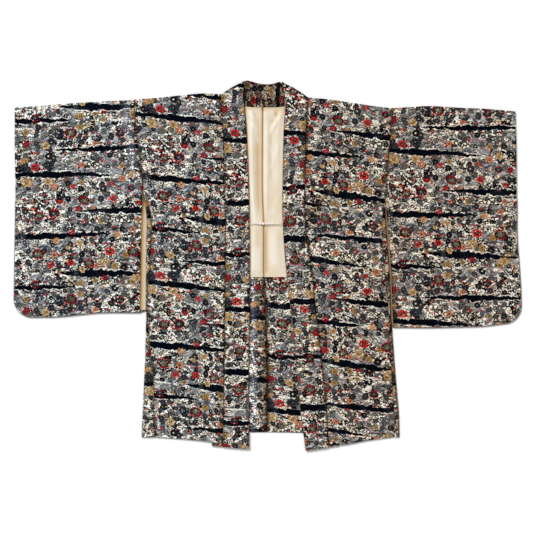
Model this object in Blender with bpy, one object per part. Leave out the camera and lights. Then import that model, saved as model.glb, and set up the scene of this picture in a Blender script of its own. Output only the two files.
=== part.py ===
"""A haori jacket laid flat on its back, front up, with the collar turned back and the bead tie across the opening.

X runs across the span of the sleeves, Y from the hem to the neck and Z up from the surface it lies on.
"Right" and "left" are the wearer's, so the right side is at -X. Sizes are millimetres until a mesh is made.
Each piece of cloth is a wall with an outer and an inner side. Layers lie on each other, GAP apart.
"""

from collections import namedtuple

import bpy
import numpy as np

MM = 0.001
GAP = 0.3

# Cloth walls and the levels that the layers lie on.
CLOTH = 1.2
LINING = 1.0
COLLAR_UNDER = 1.0
COLLAR_OVER = 2.2
LINING_UNDER = CLOTH + GAP
LINING_TOP = LINING_UNDER + LINING
FRONT_TOP = LINING_TOP + GAP + CLOTH
COLLAR_BASE = LINING_TOP + GAP
COLLAR_TOP = COLLAR_BASE + COLLAR_UNDER + GAP + COLLAR_OVER
COLLAR_LIFT = COLLAR_BASE + COLLAR_UNDER + GAP + CLOTH - FRONT_TOP

# Seams, margins and openings.
SEAM_GAP = 0.4
SIDE_GAP = 0.7
COLLAR_GAP = 0.7
UNDER_COLLAR = 38.0
LIFT_FLAT, LIFT_END = 37.0, 110.0
CUFF_STOP_Y = 160.0
LINING_END_Y = -27.6
BACK_HEM_SIDE, BACK_HEM_CENTRE = -416.0, -407.0
CORNER_RADIUS = 44.0
HIDDEN_SEAM_GAP = 2.2
FRONT_STEP = 30.0
NECK_CORNER = 2.0
NECK_LAP = 4.0
FOLD_STEPS = 3

Outline = namedtuple("Outline", "y x")
Line = namedtuple("Line", "x y")
Collar = namedtuple("Collar", "y seam crease under")
Width = namedtuple("Width", "y width")
Neck = namedtuple("Neck", "x crease")
Fold = namedtuple("Fold", "x0 y0 x1 y1 width height")
Bead = namedtuple("Bead", "x radius")

# The shoulder fold of each body length, from the armhole to the collar.
SHOULDER = {
    "right": (Line(-327, 407), Line(-273, 411), Line(-195, 419), Line(-156, 422), Line(-114, 420)),
    "left": (Line(304, 386), Line(276, 389), Line(197, 401), Line(153, 407), Line(100, 412)),
}

# The body's side outline: armhole seam down to the furi, then the fold of the gusset down to the hem.
SIDE = {
    "right": (
        Outline(407, -327), Outline(362, -324), Outline(306, -318), Outline(235, -310), Outline(186, -304),
        Outline(144, -298), Outline(107, -294.5), Outline(63, -296), Outline(-47, -297), Outline(-157, -298),
        Outline(-231, -300), Outline(-341, -305), Outline(-425, -309),
    ),
    "left": (
        Outline(386, 304), Outline(328, 302), Outline(276, 297), Outline(200, 291), Outline(156, 288),
        Outline(124, 289), Outline(97, 291), Outline(34, 296), Outline(-31, 300), Outline(-138, 304),
        Outline(-226, 310), Outline(-292, 315), Outline(-358, 321), Outline(-425, 323),
    ),
}

# How wide the gusset shows on top, from its point at the armhole to the hem.
GUSSET = {
    "right": (Width(190, 0), Width(176, 3), Width(-140, 4.5), Width(-205, 12), Width(-258, 20), Width(-425, 31)),
    "left": (Width(160, 0), Width(146, 3), Width(-150, 5.5), Width(-300, 9), Width(-425, 12)),
}

# The turned-back collar: its seam on the front, its crease at the opening, and how far it runs under the front.
COLLAR = {
    "right": (
        Collar(454, -117, -54, 1), Collar(420, -114, -60, 1), Collar(389, -111.5, -56, 8),
        Collar(345, -109, -52, 30), Collar(284, -106, -49, 30), Collar(208, -105, -46, 30),
        Collar(124, -102, -44, 30), Collar(41, -102, -43, 30), Collar(-59, -103, -43, 30),
        Collar(-157, -104, -44, 30), Collar(-277, -106, -46, 30), Collar(-366, -107, -45.5, 28),
        Collar(-450, -110, -45, 26),
    ),
    "left": (
        Collar(451, 104, 33, 1), Collar(420, 101, 41, 1), Collar(389, 98, 42, 8), Collar(345, 95, 40, 30),
        Collar(269, 93, 38, 30), Collar(186, 91, 36.5, 30), Collar(124, 91, 36.5, 30), Collar(41, 99, 41, 30),
        Collar(-15, 109, 46, 30), Collar(-84, 115, 54, 30), Collar(-157, 124, 63, 30), Collar(-231, 132, 69, 30),
        Collar(-292, 138, 74, 30), Collar(-375, 146, 83, 28), Collar(-453, 149, 93, 25),
    ),
}

# The collar's ends: the slope over the shoulder from seam to crease, and the hem from crease to under edge.
COLLAR_SLOPE = {"right": (Line(-114, 420), Line(-54, 453.2)), "left": (Line(100, 412), Line(33, 451))}
COLLAR_HEM = {"right": (Line(-136, -441.6), Line(-45, -449)), "left": (Line(174, -441.5), Line(93, -453))}

# The front's hem from the side to the collar seam.
FRONT_HEM = {
    "right": (Line(-309, -419.5), Line(-235, -424), Line(-175, -428), Line(-110, -435)),
    "left": (Line(323, -419), Line(244, -429), Line(195, -437), Line(148, -441)),
}

# The neckline of the back, and the collar's stretch behind the neck.
NECKLINE = (Line(-111, 408), Line(-85, 396), Line(-53, 388), Line(-13, 386), Line(40, 388), Line(72, 396), Line(98, 403))
NECK = (
    Neck(-100, 422), Neck(-80, 434), Neck(-58, 449.2), Neck(-53, 453.4), Neck(-43, 452.4), Neck(-23, 447),
    Neck(-9, 445), Neck(6, 445), Neck(18, 447), Neck(30, 450.2), Neck(36, 446.6), Neck(60, 429.5), Neck(88, 412.5),
)

# The centre back seam.
CENTRE = (
    Outline(386, -12), Outline(269, -12.5), Outline(186, -12.5), Outline(102, -9.5), Outline(-28, -9),
    Outline(-123, -4), Outline(-230, -1), Outline(-407, -1),
)

# The sleeves: the shoulder fold from armhole to cuff, the cuff edge, the bottom edge and the open inner edge.
SLEEVE_TOP = {
    "right": (Line(-327, 406), Line(-352, 405), Line(-430, 401), Line(-508, 396), Line(-567, 391), Line(-621, 388)),
    "left": (Line(304, 386), Line(354, 389), Line(383, 391), Line(472, 387), Line(533, 384.5), Line(608.5, 378)),
}
SLEEVE_CUFF = {
    "right": (Outline(388, -621), Outline(284, -621), Outline(161, -619), Outline(2, -621), Outline(-127, -623)),
    "left": (Outline(378, 608.5), Outline(284, 611), Outline(161, 612), Outline(51, 613.5), Outline(9, 617),
             Outline(-35, 620.2), Outline(-150, 623.4)),
}
SLEEVE_BOTTOM = {
    "right": (Line(-313, -116), Line(-410, -117), Line(-440, -120), Line(-508, -126), Line(-579, -127)),
    "left": (Line(307, -152), Line(398, -152.5), Line(472, -151), Line(530, -149), Line(579, -143)),
}
SLEEVE_OPEN = {
    "right": (Outline(190, -306.5), Outline(161, -307), Outline(100, -309), Outline(-10, -311), Outline(-116, -313)),
    "left": (Outline(156, 289.5), Outline(124, 291.5), Outline(97, 293.5), Outline(34, 298.5), Outline(-31, 302),
             Outline(-84, 304), Outline(-152, 307)),
}
OPEN_BLEND = 4.0

# The main folds: soft ridges from one end to the other, with their half width and height.
SLEEVE_FOLDS = {
    "right": (
        Fold(-333, 400, -321, 200, 13, 4.0), Fold(-476, 10, -478, -118, 22, 2.5), Fold(-330, 180, -440, 50, 38, 2.5),
        Fold(-600, 352, -400, 372, 42, 1.8), Fold(-600, 200, -596, -60, 28, 2.0),
    ),
    "left": (
        Fold(322, 384, 308, 170, 15, 3.2), Fold(325, 150, 440, 0, 38, 2.4), Fold(588, 330, 598, -60, 28, 2.2),
        Fold(360, -40, 520, -110, 36, 1.8), Fold(360, 350, 560, 340, 40, 1.6),
    ),
}
FRONT_FOLDS = {
    "right": (
        Fold(-205, 392, -122, 300, 24, 3.0), Fold(-285, 350, -250, 170, 28, 2.4), Fold(-235, 80, -170, -150, 38, 2.4),
        Fold(-200, -200, -190, -430, 34, 2.2), Fold(-262, -180, -258, -400, 24, 1.8),
    ),
    "left": (
        Fold(106, 80, 165, 175, 17, 3.8), Fold(112, 385, 168, 295, 18, 3.4), Fold(245, 350, 200, 110, 34, 2.8),
        Fold(252, 60, 228, -150, 38, 2.4), Fold(205, -190, 232, -430, 34, 2.2),
    ),
}
SLEEVE_PUFF = 2.0
CENTRE_ROLL = Fold(-20, 395, -19, -60, 9, 1.4)
TURN_UP_ROLL = Fold(-22, -20, -14, -410, 12, 2.6)

# The bead tie: it runs along X at this height of the jacket, from the smallest beads to the largest and back.
TIE_Y = 103.0
TIE_Z = COLLAR_TOP + 0.8
TIE_NECK = 0.8
LOOP_RADIUS, LOOP_CORD = 2.4, 0.6
TIE_BEADS = (
    Bead(-36.0, 1.6), Bead(-30.2, 2.0), Bead(-23.8, 2.4), Bead(-17.0, 2.7), Bead(-10.2, 3.2), Bead(-2.9, 2.9),
    Bead(4.5, 2.6), Bead(11.8, 2.6), Bead(18.4, 2.0), Bead(23.6, 1.7), Bead(27.3, 1.4),
)

COLOURS = {
    "print": ((0.105, 0.098, 0.092, 1.0), 0.75),
    "lining": ((0.72, 0.62, 0.47, 1.0), 0.6),
    "pearl": ((0.80, 0.77, 0.72, 1.0), 0.25),
    "cord": ((0.70, 0.66, 0.60, 1.0), 0.7),
}


def through(rows, key, column, at):
    """A smooth curve through a table's rows: one column as a function of another, straight past its ends."""
    rows = sorted(rows, key=lambda row: getattr(row, key))
    keys = np.array([getattr(row, key) for row in rows], float)
    values = np.array([getattr(row, column) for row in rows], float)
    slopes = np.gradient(values, keys)
    at = np.asarray(at, float)
    inside = np.clip(at, keys[0], keys[-1])
    low = np.clip(np.searchsorted(keys, inside) - 1, 0, len(keys) - 2)
    span = keys[low + 1] - keys[low]
    t = (inside - keys[low]) / span
    curve = (
        (2 * t**3 - 3 * t**2 + 1) * values[low]
        + (t**3 - 2 * t**2 + t) * span * slopes[low]
        + (3 * t**2 - 2 * t**3) * values[low + 1]
        + (t**3 - t**2) * span * slopes[low + 1]
    )
    return curve + (at - inside) * np.where(at > inside, slopes[-1], slopes[0])


def across(rows, u):
    """The height in Y of an edge, as u goes from its first row's x to its last row's x."""
    return through(rows, "x", "y", rows[0].x * (1 - u) + rows[-1].x * u)


def ease(t):
    """A smooth step from 0 to 1."""
    t = np.clip(t, 0, 1)
    return t * t * (3 - 2 * t)


def ridge(x, y, folds):
    """How high the folds lift the cloth: a bell across each fold, fading to nothing at its two ends."""
    lift = np.zeros(np.broadcast(x, y).shape)
    for fold in folds:
        along = np.array([fold.x1 - fold.x0, fold.y1 - fold.y0])
        length = np.hypot(*along)
        along = along / length
        run = (x - fold.x0) * along[0] + (y - fold.y0) * along[1]
        side = (x - fold.x0) * along[1] - (y - fold.y0) * along[0]
        fade = ease(run / length * 3 + 0.3) * ease((1 - run / length) * 3 + 0.3)
        lift += fold.height * np.exp(-((side / fold.width) ** 2)) * fade
    return lift


def spaced(length, step):
    """Even fractions from 0 to 1 for a length cut into steps of about the given size."""
    return np.linspace(0, 1, max(2, round(length / step)) + 1)


def points(x, y, z):
    """Stacks coordinates of any matching shapes into one array of points."""
    return np.stack(np.broadcast_arrays(x, y, z), axis=-1).astype(float)


class Sheet:
    """A cloth wall: points that have an outer and an inner place, the faces over them, and a rim at every open edge."""

    def __init__(self):
        self.outer, self.inner, self.faces = [], [], []

    def add(self, outer, inner):
        """Adds points by their outer and inner places and returns their numbers in the same grid."""
        first = len(self.outer)
        self.outer.extend(outer.reshape(-1, 3))
        self.inner.extend(inner.reshape(-1, 3))
        return np.arange(first, len(self.outer)).reshape(outer.shape[:-1])

    def cover(self, grid):
        """Adds a face in each cell of a grid of point numbers."""
        for i in range(grid.shape[0] - 1):
            for j in range(grid.shape[1] - 1):
                self.faces.append((grid[i, j], grid[i + 1, j], grid[i + 1, j + 1], grid[i, j + 1]))

    def turn(self, upper, lower, outward):
        """Folds the cloth round from upper points to lower points in a half round, and returns the grid across it."""
        rows = [upper]
        top, bottom = np.array(self.outer)[upper], np.array(self.outer)[lower]
        inner_top, inner_bottom = np.array(self.inner)[upper], np.array(self.inner)[lower]
        for angle in np.linspace(90, -90, FOLD_STEPS + 2)[1:-1] * np.pi / 180:
            rise, reach = (1 + np.sin(angle)) / 2, np.cos(angle)
            pairs = []
            for over, under in ((top, bottom), (inner_top, inner_bottom)):
                place = over * rise + under * (1 - rise)
                place[:, :2] += outward * (np.abs(over[:, 2:] - under[:, 2:]) / 2 * reach)
                pairs.append(place)
            rows.append(self.add(*pairs))
        rows.append(lower)
        return np.array(rows)

    def solid(self, name, material, parent):
        """Makes the closed wall as an object: outer faces, inner faces turned over, and rims between them."""
        count = len(self.outer)
        faces = [tuple(int(i) for i in face) for face in self.faces]
        seen = {(face[i], face[(i + 1) % 4]) for face in faces for i in range(4)}
        rims = [(b, a, a + count, b + count) for a, b in seen if (b, a) not in seen]
        faces += [tuple(i + count for i in reversed(face)) for face in faces] + sorted(rims)
        places = np.array(self.outer + self.inner)
        return make_object(name, places, faces, material, parent)


def make_object(name, places, faces, material, parent):
    """A mesh object from places in millimetres, with its faces pointing outwards."""
    volume = 0.0
    for face in faces:
        for i in range(1, len(face) - 1):
            volume += np.linalg.det(places[[face[0], face[i], face[i + 1]]])
    if volume < 0:
        faces = [tuple(reversed(face)) for face in faces]
    mesh = bpy.data.meshes.new(name)
    mesh.from_pydata([tuple(place) for place in places * MM], [], faces)
    mesh.shade_smooth()
    mesh.set_sharp_from_angle(angle=np.radians(40))
    mesh.materials.append(material)
    obj = bpy.data.objects.new(name, mesh)
    obj.parent = parent
    bpy.context.scene.collection.objects.link(obj)
    return obj


def make_material(name):
    """A plain Principled material in the cloth's mean colour."""
    colour, roughness = COLOURS[name]
    material = bpy.data.materials.new(name)
    material.use_nodes = True
    shader = material.node_tree.nodes["Principled BSDF"]
    shader.inputs["Base Color"].default_value = colour
    shader.inputs["Roughness"].default_value = roughness
    shader.inputs["Metallic"].default_value = 0.0
    return material


def flat(sheet, x, y, under, top):
    """Adds a layer whose outer side is its top, and returns its grid."""
    return sheet.add(points(x, y, top), points(x, y, under))


def outline_x(side, y):
    return through(SIDE[side], "y", "x", y)


def inward(side):
    """+1 where the body's middle lies towards +X, and -1 where it lies towards -X."""
    return 1 if side == "right" else -1


def gusset_width(side, y):
    return np.maximum(through(GUSSET[side], "y", "width", y), 0) * (y < GUSSET[side][0].y)


def panel_side_x(side, y):
    """Where the front and back are sewn to the sleeve or the gusset."""
    return outline_x(side, y) + inward(side) * (gusset_width(side, y) + SEAM_GAP)


def body_rows(side):
    """Fractions down the front for its rows. Every second one is a row of the back too."""
    coarse = spaced(SHOULDER[side][0].y - FRONT_HEM[side][0].y, 2 * FRONT_STEP)
    return np.linspace(0, 1, 2 * len(coarse) - 1)


def side_rows(side):
    """The heights of the rows at which the front and its gusset meet."""
    v = body_rows(side)
    return (SHOULDER[side][0].y - FRONT_TOP / 2) * (1 - v) + FRONT_HEM[side][0].y * v


def front_top_z(side, x, y, edge):
    """The front's top: level, lifted where the collar runs under it, and raised by its folds away from its edges."""
    reach = np.abs(x - through(COLLAR[side], "y", "seam", y))
    lift = COLLAR_LIFT * (1 - ease((reach - LIFT_FLAT) / (LIFT_END - LIFT_FLAT)))
    return FRONT_TOP + lift + ridge(x, y, FRONT_FOLDS[side]) * edge


def make_body(side, material, parent):
    """One length of cloth: the front from its hem to the shoulder, over the fold, and the back down to its hem."""
    sheet = Sheet()
    shoulder = SHOULDER[side]
    u = spaced(205, 25)
    v = body_rows(side)
    grid_u, grid_v = np.meshgrid(u, v)
    radius = (FRONT_TOP + COLLAR_LIFT * ease(grid_u * 2 - 1)) / 2
    top, hem = across(shoulder, grid_u) - radius, across(FRONT_HEM[side], grid_u)
    y = top * (1 - grid_v) + hem * grid_v
    seam = through(COLLAR[side], "y", "seam", y) - inward(side) * COLLAR_GAP
    x = panel_side_x(side, y) * (1 - grid_u) + seam * grid_u
    edge = ease(grid_v * 20) * ease((1 - grid_v) * 20) * ease(grid_u * 6 + 0.3) * ease((1 - grid_u) * 6)
    z = front_top_z(side, x, y, edge)
    front = flat(sheet, x, y, z - CLOTH, z)

    centre_clear = inward(side) * SEAM_GAP
    neck_x = through(CENTRE, "y", "x", 386.0) - centre_clear
    top_x = np.concatenate([x[0], np.linspace(x[0, -1] + inward(side) * NECK_CORNER, neck_x, 6)])
    top_y = np.concatenate([y[0], through(NECKLINE, "x", "y", top_x[len(u):]) - 0.5])
    share = (top_x - top_x[0]) / (top_x[-1] - top_x[0])
    down = v[::2, None]
    back_hem = BACK_HEM_SIDE * (1 - share) + BACK_HEM_CENTRE * share
    y = top_y * (1 - down) + back_hem * down
    middle = through(CENTRE, "y", "x", y) - centre_clear
    sewn = panel_side_x(side, y) + inward(side) * HIDDEN_SEAM_GAP * (y < GUSSET[side][0].y)
    x = sewn * (1 - share) + middle * share
    x[0] = top_x
    back = sheet.add(points(x, y, 0.0), points(x, y, CLOTH))

    fold = sheet.turn(front[0], back[0, : len(u)], np.array([[0.0, 1.0]]))
    sheet.cover(front)
    sheet.cover(fold[::-1])
    sheet.cover(back[::-1])
    return sheet.solid(f"body_{side}", material, parent)


def make_gusset(side, material, parent):
    """The side strip, folded round the body's edge from the front's side seam to the back's."""
    sheet = Sheet()
    y = side_rows(side)
    y = y[2 * int(np.argmax(y[::2] < GUSSET[side][1].y - SEAM_GAP)) :]
    edge = outline_x(side, y) + inward(side) * FRONT_TOP / 2
    seam = outline_x(side, y) + inward(side) * np.maximum(gusset_width(side, y), FRONT_TOP / 2 + 0.6)
    upper = flat(sheet, np.stack([edge, seam]), y, FRONT_TOP - CLOTH, FRONT_TOP)
    lower = sheet.add(points(np.stack([edge, seam]), y, 0.0), points(np.stack([edge, seam]), y, CLOTH))
    fold = sheet.turn(upper[0], lower[0], np.array([[-inward(side), 0.0]]))
    sheet.cover(upper)
    sheet.cover(fold[::-1])
    sheet.cover(lower[::-1])
    return sheet.solid(f"gusset_{side}", material, parent)


def sleeve_open_x(side, y, layer):
    """The sleeve's inner edge: the armhole seam above, and below it the open edge of the front or back layer."""
    armhole = outline_x(side, y) - inward(side) * SEAM_GAP
    under_body = outline_x(side, y) - inward(side) * SIDE_GAP
    free = through(SLEEVE_OPEN[side], "y", "x", y)
    if layer == "back":
        bottom = SLEEVE_OPEN[side][-1].y
        free = under_body + (free - under_body) * ease(1 - (y - bottom) / OPEN_BLEND)
    return np.where(y > SLEEVE_OPEN[side][0].y, armhole, free)


def sleeve_cuff_x(side, y, bottom):
    """The cuff edge, straight down to the rounded lower corner."""
    drop = np.clip(bottom + CORNER_RADIUS - y, 0, CORNER_RADIUS)
    turn = CORNER_RADIUS - np.sqrt(CORNER_RADIUS**2 - drop**2)
    return through(SLEEVE_CUFF[side], "y", "x", y) + inward(side) * turn


def make_sleeve(side, material, parent):
    """The sleeve: front and back layers joined over the shoulder, below the cuff, round the corner and at the bottom."""
    sheet = Sheet()
    radius = FRONT_TOP / 2
    bottom = SLEEVE_BOTTOM[side][-1].y + radius
    u = spaced(312, 31)
    corner = CORNER_RADIUS / 515
    v = np.concatenate([spaced(470, 36) * (1 - corner), 1 - corner * (1 - np.sin(np.radians([24, 46, 66, 90])))])
    grid_u, grid_v = np.meshgrid(u, v)
    top = across(SLEEVE_TOP[side], grid_u) - radius
    low = across(SLEEVE_BOTTOM[side], grid_u) + radius
    y = top * (1 - grid_v) + low * grid_v
    cuff = sleeve_cuff_x(side, y, bottom) + inward(side) * radius
    edge = ease(grid_v * 20) * ease((1 - grid_v) * 12) * ease(grid_u * 20 + 0.2) * ease((1 - grid_u) * 12)
    layers = {}
    for layer in ("front", "back"):
        x = sleeve_open_x(side, y, layer) * (1 - grid_u) + cuff * grid_u
        if layer == "front":
            puff = SLEEVE_PUFF * np.sqrt(np.abs(16 * grid_u * (1 - grid_u) * grid_v * (1 - grid_v)))
            z = FRONT_TOP + (puff + ridge(x, y, SLEEVE_FOLDS[side])) * edge
            layers[layer] = flat(sheet, x, y, z - CLOTH, z)
        else:
            layers[layer] = sheet.add(points(x, y, 0.0), points(x, y, CLOTH))
    front, back = layers["front"], layers["back"]

    stop = int(np.argmin(np.abs(y[:, -1] - CUFF_STOP_Y)))
    upper = np.concatenate([front[stop:, -1], front[-1, -2::-1]])
    lower = np.concatenate([back[stop:, -1], back[-1, -2::-1]])
    path = np.array(sheet.outer)[upper][:, :2]
    tangent = np.gradient(path, axis=0)
    outward = np.stack([-tangent[:, 1], tangent[:, 0]], axis=1) * inward(side)
    outward /= -np.linalg.norm(outward, axis=1, keepdims=True)

    sheet.cover(front)
    sheet.cover(back[::-1])
    sheet.cover(sheet.turn(front[0], back[0], np.array([[0.0, 1.0]]))[::-1])
    sheet.cover(sheet.turn(upper, lower, outward).T)
    return sheet.solid(f"sleeve_{side}", material, parent)


def make_collar(side, material, parent):
    """The collar band on one front: under layer, crease at the opening, upper layer, and its turn over the shoulder."""
    sheet = Sheet()
    crease_radius = (COLLAR_TOP - COLLAR_BASE) / 2
    over_radius = COLLAR_TOP / 2
    v = spaced(880, 34)
    slope, hem = COLLAR_SLOPE[side], COLLAR_HEM[side]

    def run(share, under, inset):
        """Points along the band at a share of its width from seam to crease, or at its edge under the front."""
        start = slope[0].y * (1 - share) + slope[1].y * share - inset
        x_hem = through(COLLAR[side], "y", "seam", -450) * (1 - share) + hem[1].x * share
        if under:
            x_hem = hem[0].x
        end = hem[0].y + (hem[1].y - hem[0].y) * (x_hem - hem[0].x) / (hem[1].x - hem[0].x)
        y = start * (1 - v) + end * v
        seam = through(COLLAR[side], "y", "seam", y)
        crease = through(COLLAR[side], "y", "crease", y) - inward(side) * crease_radius
        x = seam * (1 - share) + crease * share
        if under:
            x = seam - inward(side) * through(COLLAR[side], "y", "under", y)
        return x, y

    grids = []
    for share, under in ((0.0, True), (0.5, False), (1.0, False)):
        x, y = run(share, under, over_radius + 1.0)
        grids.append(sheet.add(points(x, y, COLLAR_BASE), points(x, y, COLLAR_BASE + COLLAR_UNDER)))
    for share, swell in ((1.0, 0.0), (0.62, 0.5), (0.3, 0.4), (0.0, 0.0)):
        x, y = run(share, False, over_radius)
        fullness = swell * ease(v * 12) * ease((1 - v) * 12)
        grids.append(flat(sheet, x, y, COLLAR_TOP - COLLAR_OVER, COLLAR_TOP + fullness))
    crease = sheet.turn(grids[3], grids[2], np.array([[inward(side), 0.0]]))
    band = np.array(grids[:3] + list(crease[1:-1][::-1]) + grids[3:])
    sheet.cover(band)

    over = np.array([grid[0] for grid in grids[3:]])
    top = np.array(sheet.outer)[over]
    rows = [over]
    for angle in np.radians([55, 20, -20, -55, -90]):
        outer, inner = top.copy(), top.copy()
        outer[:, 1] += over_radius * np.cos(angle)
        outer[:, 2] = over_radius * (1 + np.sin(angle))
        inner[:, 1] += (over_radius - COLLAR_OVER) * np.cos(angle)
        inner[:, 2] = over_radius + (over_radius - COLLAR_OVER) * np.sin(angle)
        rows.append(sheet.add(outer, inner))
    sheet.cover(np.array(rows))
    return sheet.solid(f"collar_{side}", material, parent)


def make_neck(material, parent):
    """The collar behind the neck: inner layer on top, crease at the far edge, outer layer underneath."""
    sheet = Sheet()
    x = np.linspace(NECK[0].x, NECK[-1].x, 19)
    crease = through(NECK, "x", "crease", x)
    seam = through(NECKLINE, "x", "y", x)
    across_band = np.array([[0.0], [0.5], [1.0]])
    far = (crease - LINING_TOP / 2) * across_band
    y = (seam - NECK_LAP) * (1 - across_band) + far
    upper = flat(sheet, x, y, LINING_UNDER, LINING_TOP)
    y = (seam + SEAM_GAP) * (1 - across_band) + far
    lower = sheet.add(points(x, y, 0.0), points(x, y, CLOTH))
    fold = sheet.turn(upper[-1], lower[-1], np.array([[0.0, 1.0]]))
    sheet.cover(upper)
    sheet.cover(fold)
    sheet.cover(lower[::-1])
    return sheet.solid("collar_neck", material, parent)


def make_inner_back(name, side, top, bottom, roll, material, parent):
    """A half of what shows inside the back, from under the collar to the centre seam, with a soft roll along it."""
    sheet = Sheet()
    down = spaced(top - bottom, 42)[:, None]
    shares = np.array([0.0, 0.25, 0.5, 0.68, 0.8, 0.9, 1.0]) if roll else spaced(4, 1)
    y = top * (1 - down) + bottom * down
    crease = through(COLLAR[side], "y", "crease", y)
    middle = through(CENTRE, "y", "x", y) - inward(side) * GAP / 2
    x = np.concatenate([crease - inward(side) * UNDER_COLLAR, crease * (1 - shares) + middle * shares], axis=1)
    y = np.repeat(y, x.shape[1], axis=1)
    if top > LINING_END_Y:
        y[0] = through(NECKLINE, "x", "y", x[0]) - NECK_LAP - 2 * SEAM_GAP
        y[0, 0] = y[0, 1]
    clear = ease(np.abs(x - crease) / 12) * (np.abs(x - middle) <= np.abs(crease - middle))
    ends = ease((top - y) / 20) * ease((y - bottom) / 20)
    swell = ridge(x, y, (roll,) if roll else ()) * clear * ends
    sheet.cover(flat(sheet, x, y, LINING_UNDER + swell, LINING_TOP + swell))
    return sheet.solid(name, material, parent)


def make_sleeve_lining(side, material, parent):
    """The lining of the sleeve's back layer where it shows along the open inner edge."""
    sheet = Sheet()
    top = SLEEVE_OPEN[side][0].y - 6.0
    bottom = SLEEVE_OPEN[side][-1].y + OPEN_BLEND + 4.0
    down = spaced(top - bottom, 30)[:, None]
    y = top * (1 - down) + bottom * down
    edge = outline_x(side, y) - inward(side) * (SIDE_GAP + 0.2)
    width = np.array([[0.0, 14.0, 30.0]])
    x = edge - inward(side) * width
    sheet.cover(flat(sheet, x, y, LINING_UNDER, LINING_TOP))
    return sheet.solid(f"sleeve_lining_{side}", material, parent)


def turned(profile, sides, centre):
    """Rings of points round a line along X, from a profile of places along it and radii."""
    angle = np.arange(sides) * 2 * np.pi / sides
    rings = [
        points(place, centre[0] + radius * np.cos(angle), centre[1] + radius * np.sin(angle)) for place, radius in profile
    ]
    places = np.concatenate(rings)
    faces = [
        (i * sides + j, i * sides + (j + 1) % sides, (i + 1) * sides + (j + 1) % sides, (i + 1) * sides + j)
        for i in range(len(profile) - 1)
        for j in range(sides)
    ]
    faces += [tuple(range(sides))[::-1], tuple(range((len(profile) - 1) * sides, len(profile) * sides))]
    return places, faces


def make_tie(material, parent):
    """The string of graded beads, turned as one piece along X."""
    profile = []
    for bead in TIE_BEADS:
        reach = np.sqrt(bead.radius**2 - TIE_NECK**2)
        for share, radius in ((-1.0, TIE_NECK), (-0.42, 0.95), (0.42, 0.95)):
            profile.append((bead.x + share * reach, radius if radius == TIE_NECK else radius * bead.radius))
    profile.append((TIE_BEADS[-1].x + reach, TIE_NECK))
    places, faces = turned(profile, 8, (TIE_Y, TIE_Z))
    return make_object("bead_tie", places, faces, material, parent)


def make_loop(side, end_x, material, parent):
    """The small loop that holds an end of the tie at the collar's crease."""
    ring, cord = 12, 6
    centre_x = end_x - inward(side) * (LOOP_RADIUS + LOOP_CORD + GAP)
    angle = np.arange(ring) * 2 * np.pi / ring
    turn = np.arange(cord) * 2 * np.pi / cord
    radius = LOOP_RADIUS + LOOP_CORD * np.cos(turn)[None, :]
    places = points(
        centre_x + radius * np.cos(angle)[:, None],
        TIE_Y + radius * np.sin(angle)[:, None],
        TIE_Z + LOOP_CORD * np.sin(turn)[None, :],
    ).reshape(-1, 3)
    faces = [
        (i * cord + j, ((i + 1) % ring) * cord + j, ((i + 1) % ring) * cord + (j + 1) % cord, i * cord + (j + 1) % cord)
        for i in range(ring)
        for j in range(cord)
    ]
    return make_object(f"tie_loop_{side}", places, faces, material, parent)


def main():
    for obj in list(bpy.data.objects):
        bpy.data.objects.remove(obj)
    materials = {name: make_material(name) for name in COLOURS}
    haori = bpy.data.objects.new("haori", None)
    bpy.context.scene.collection.objects.link(haori)
    tie_ends = {
        "right": TIE_BEADS[0].x - np.sqrt(TIE_BEADS[0].radius ** 2 - TIE_NECK**2),
        "left": TIE_BEADS[-1].x + np.sqrt(TIE_BEADS[-1].radius ** 2 - TIE_NECK**2),
    }
    for side in ("right", "left"):
        make_body(side, materials["print"], haori)
        make_gusset(side, materials["print"], haori)
        make_sleeve(side, materials["print"], haori)
        make_collar(side, materials["print"], haori)
        roll = CENTRE_ROLL if side == "right" else None
        make_inner_back(
            f"lining_back_{side}", side, NECKLINE[3].y, LINING_END_Y + GAP / 2, roll, materials["lining"], haori
        )
        roll = TURN_UP_ROLL if side == "right" else None
        make_inner_back(
            f"turn_up_{side}", side, LINING_END_Y - GAP / 2, BACK_HEM_CENTRE, roll, materials["print"], haori
        )
        make_sleeve_lining(side, materials["lining"], haori)
        make_loop(side, tie_ends[side], materials["cord"], haori)
    make_neck(materials["print"], haori)
    make_tie(materials["pearl"], haori)


main()
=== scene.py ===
"""Dresses the haori jacket: printed silk, cream lining, the bead tie and a pale studio floor.

Sizes in the tables are millimetres. X runs across the span of the sleeves, Y from hem to neck, and Z up
from the floor. "Right" and "left" are the wearer's, so the right side is at -X. Every cloth piece is a wall
with an outer and an inner side on the same form as its solid, with a finer grid, its creases, and its own
place in the printed bolt.
"""

from collections import namedtuple

import bpy
import numpy as np
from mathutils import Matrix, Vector


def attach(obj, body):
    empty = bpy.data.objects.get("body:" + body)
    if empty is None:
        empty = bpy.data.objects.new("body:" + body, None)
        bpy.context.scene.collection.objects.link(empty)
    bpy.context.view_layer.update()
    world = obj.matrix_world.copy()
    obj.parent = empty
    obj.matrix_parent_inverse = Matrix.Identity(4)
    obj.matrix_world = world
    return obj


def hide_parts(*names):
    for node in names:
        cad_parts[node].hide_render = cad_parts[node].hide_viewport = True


bl_info = {
    "name": "Haori jacket laid flat",
    "version": (1, 0, 0),
    "blender": (4, 5, 0),
    "location": "View3D > Sidebar > Haori",
    "description": "Makes the printed cloth, lining, bead tie and studio of a haori laid flat",
    "category": "Add Mesh",
}

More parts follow.
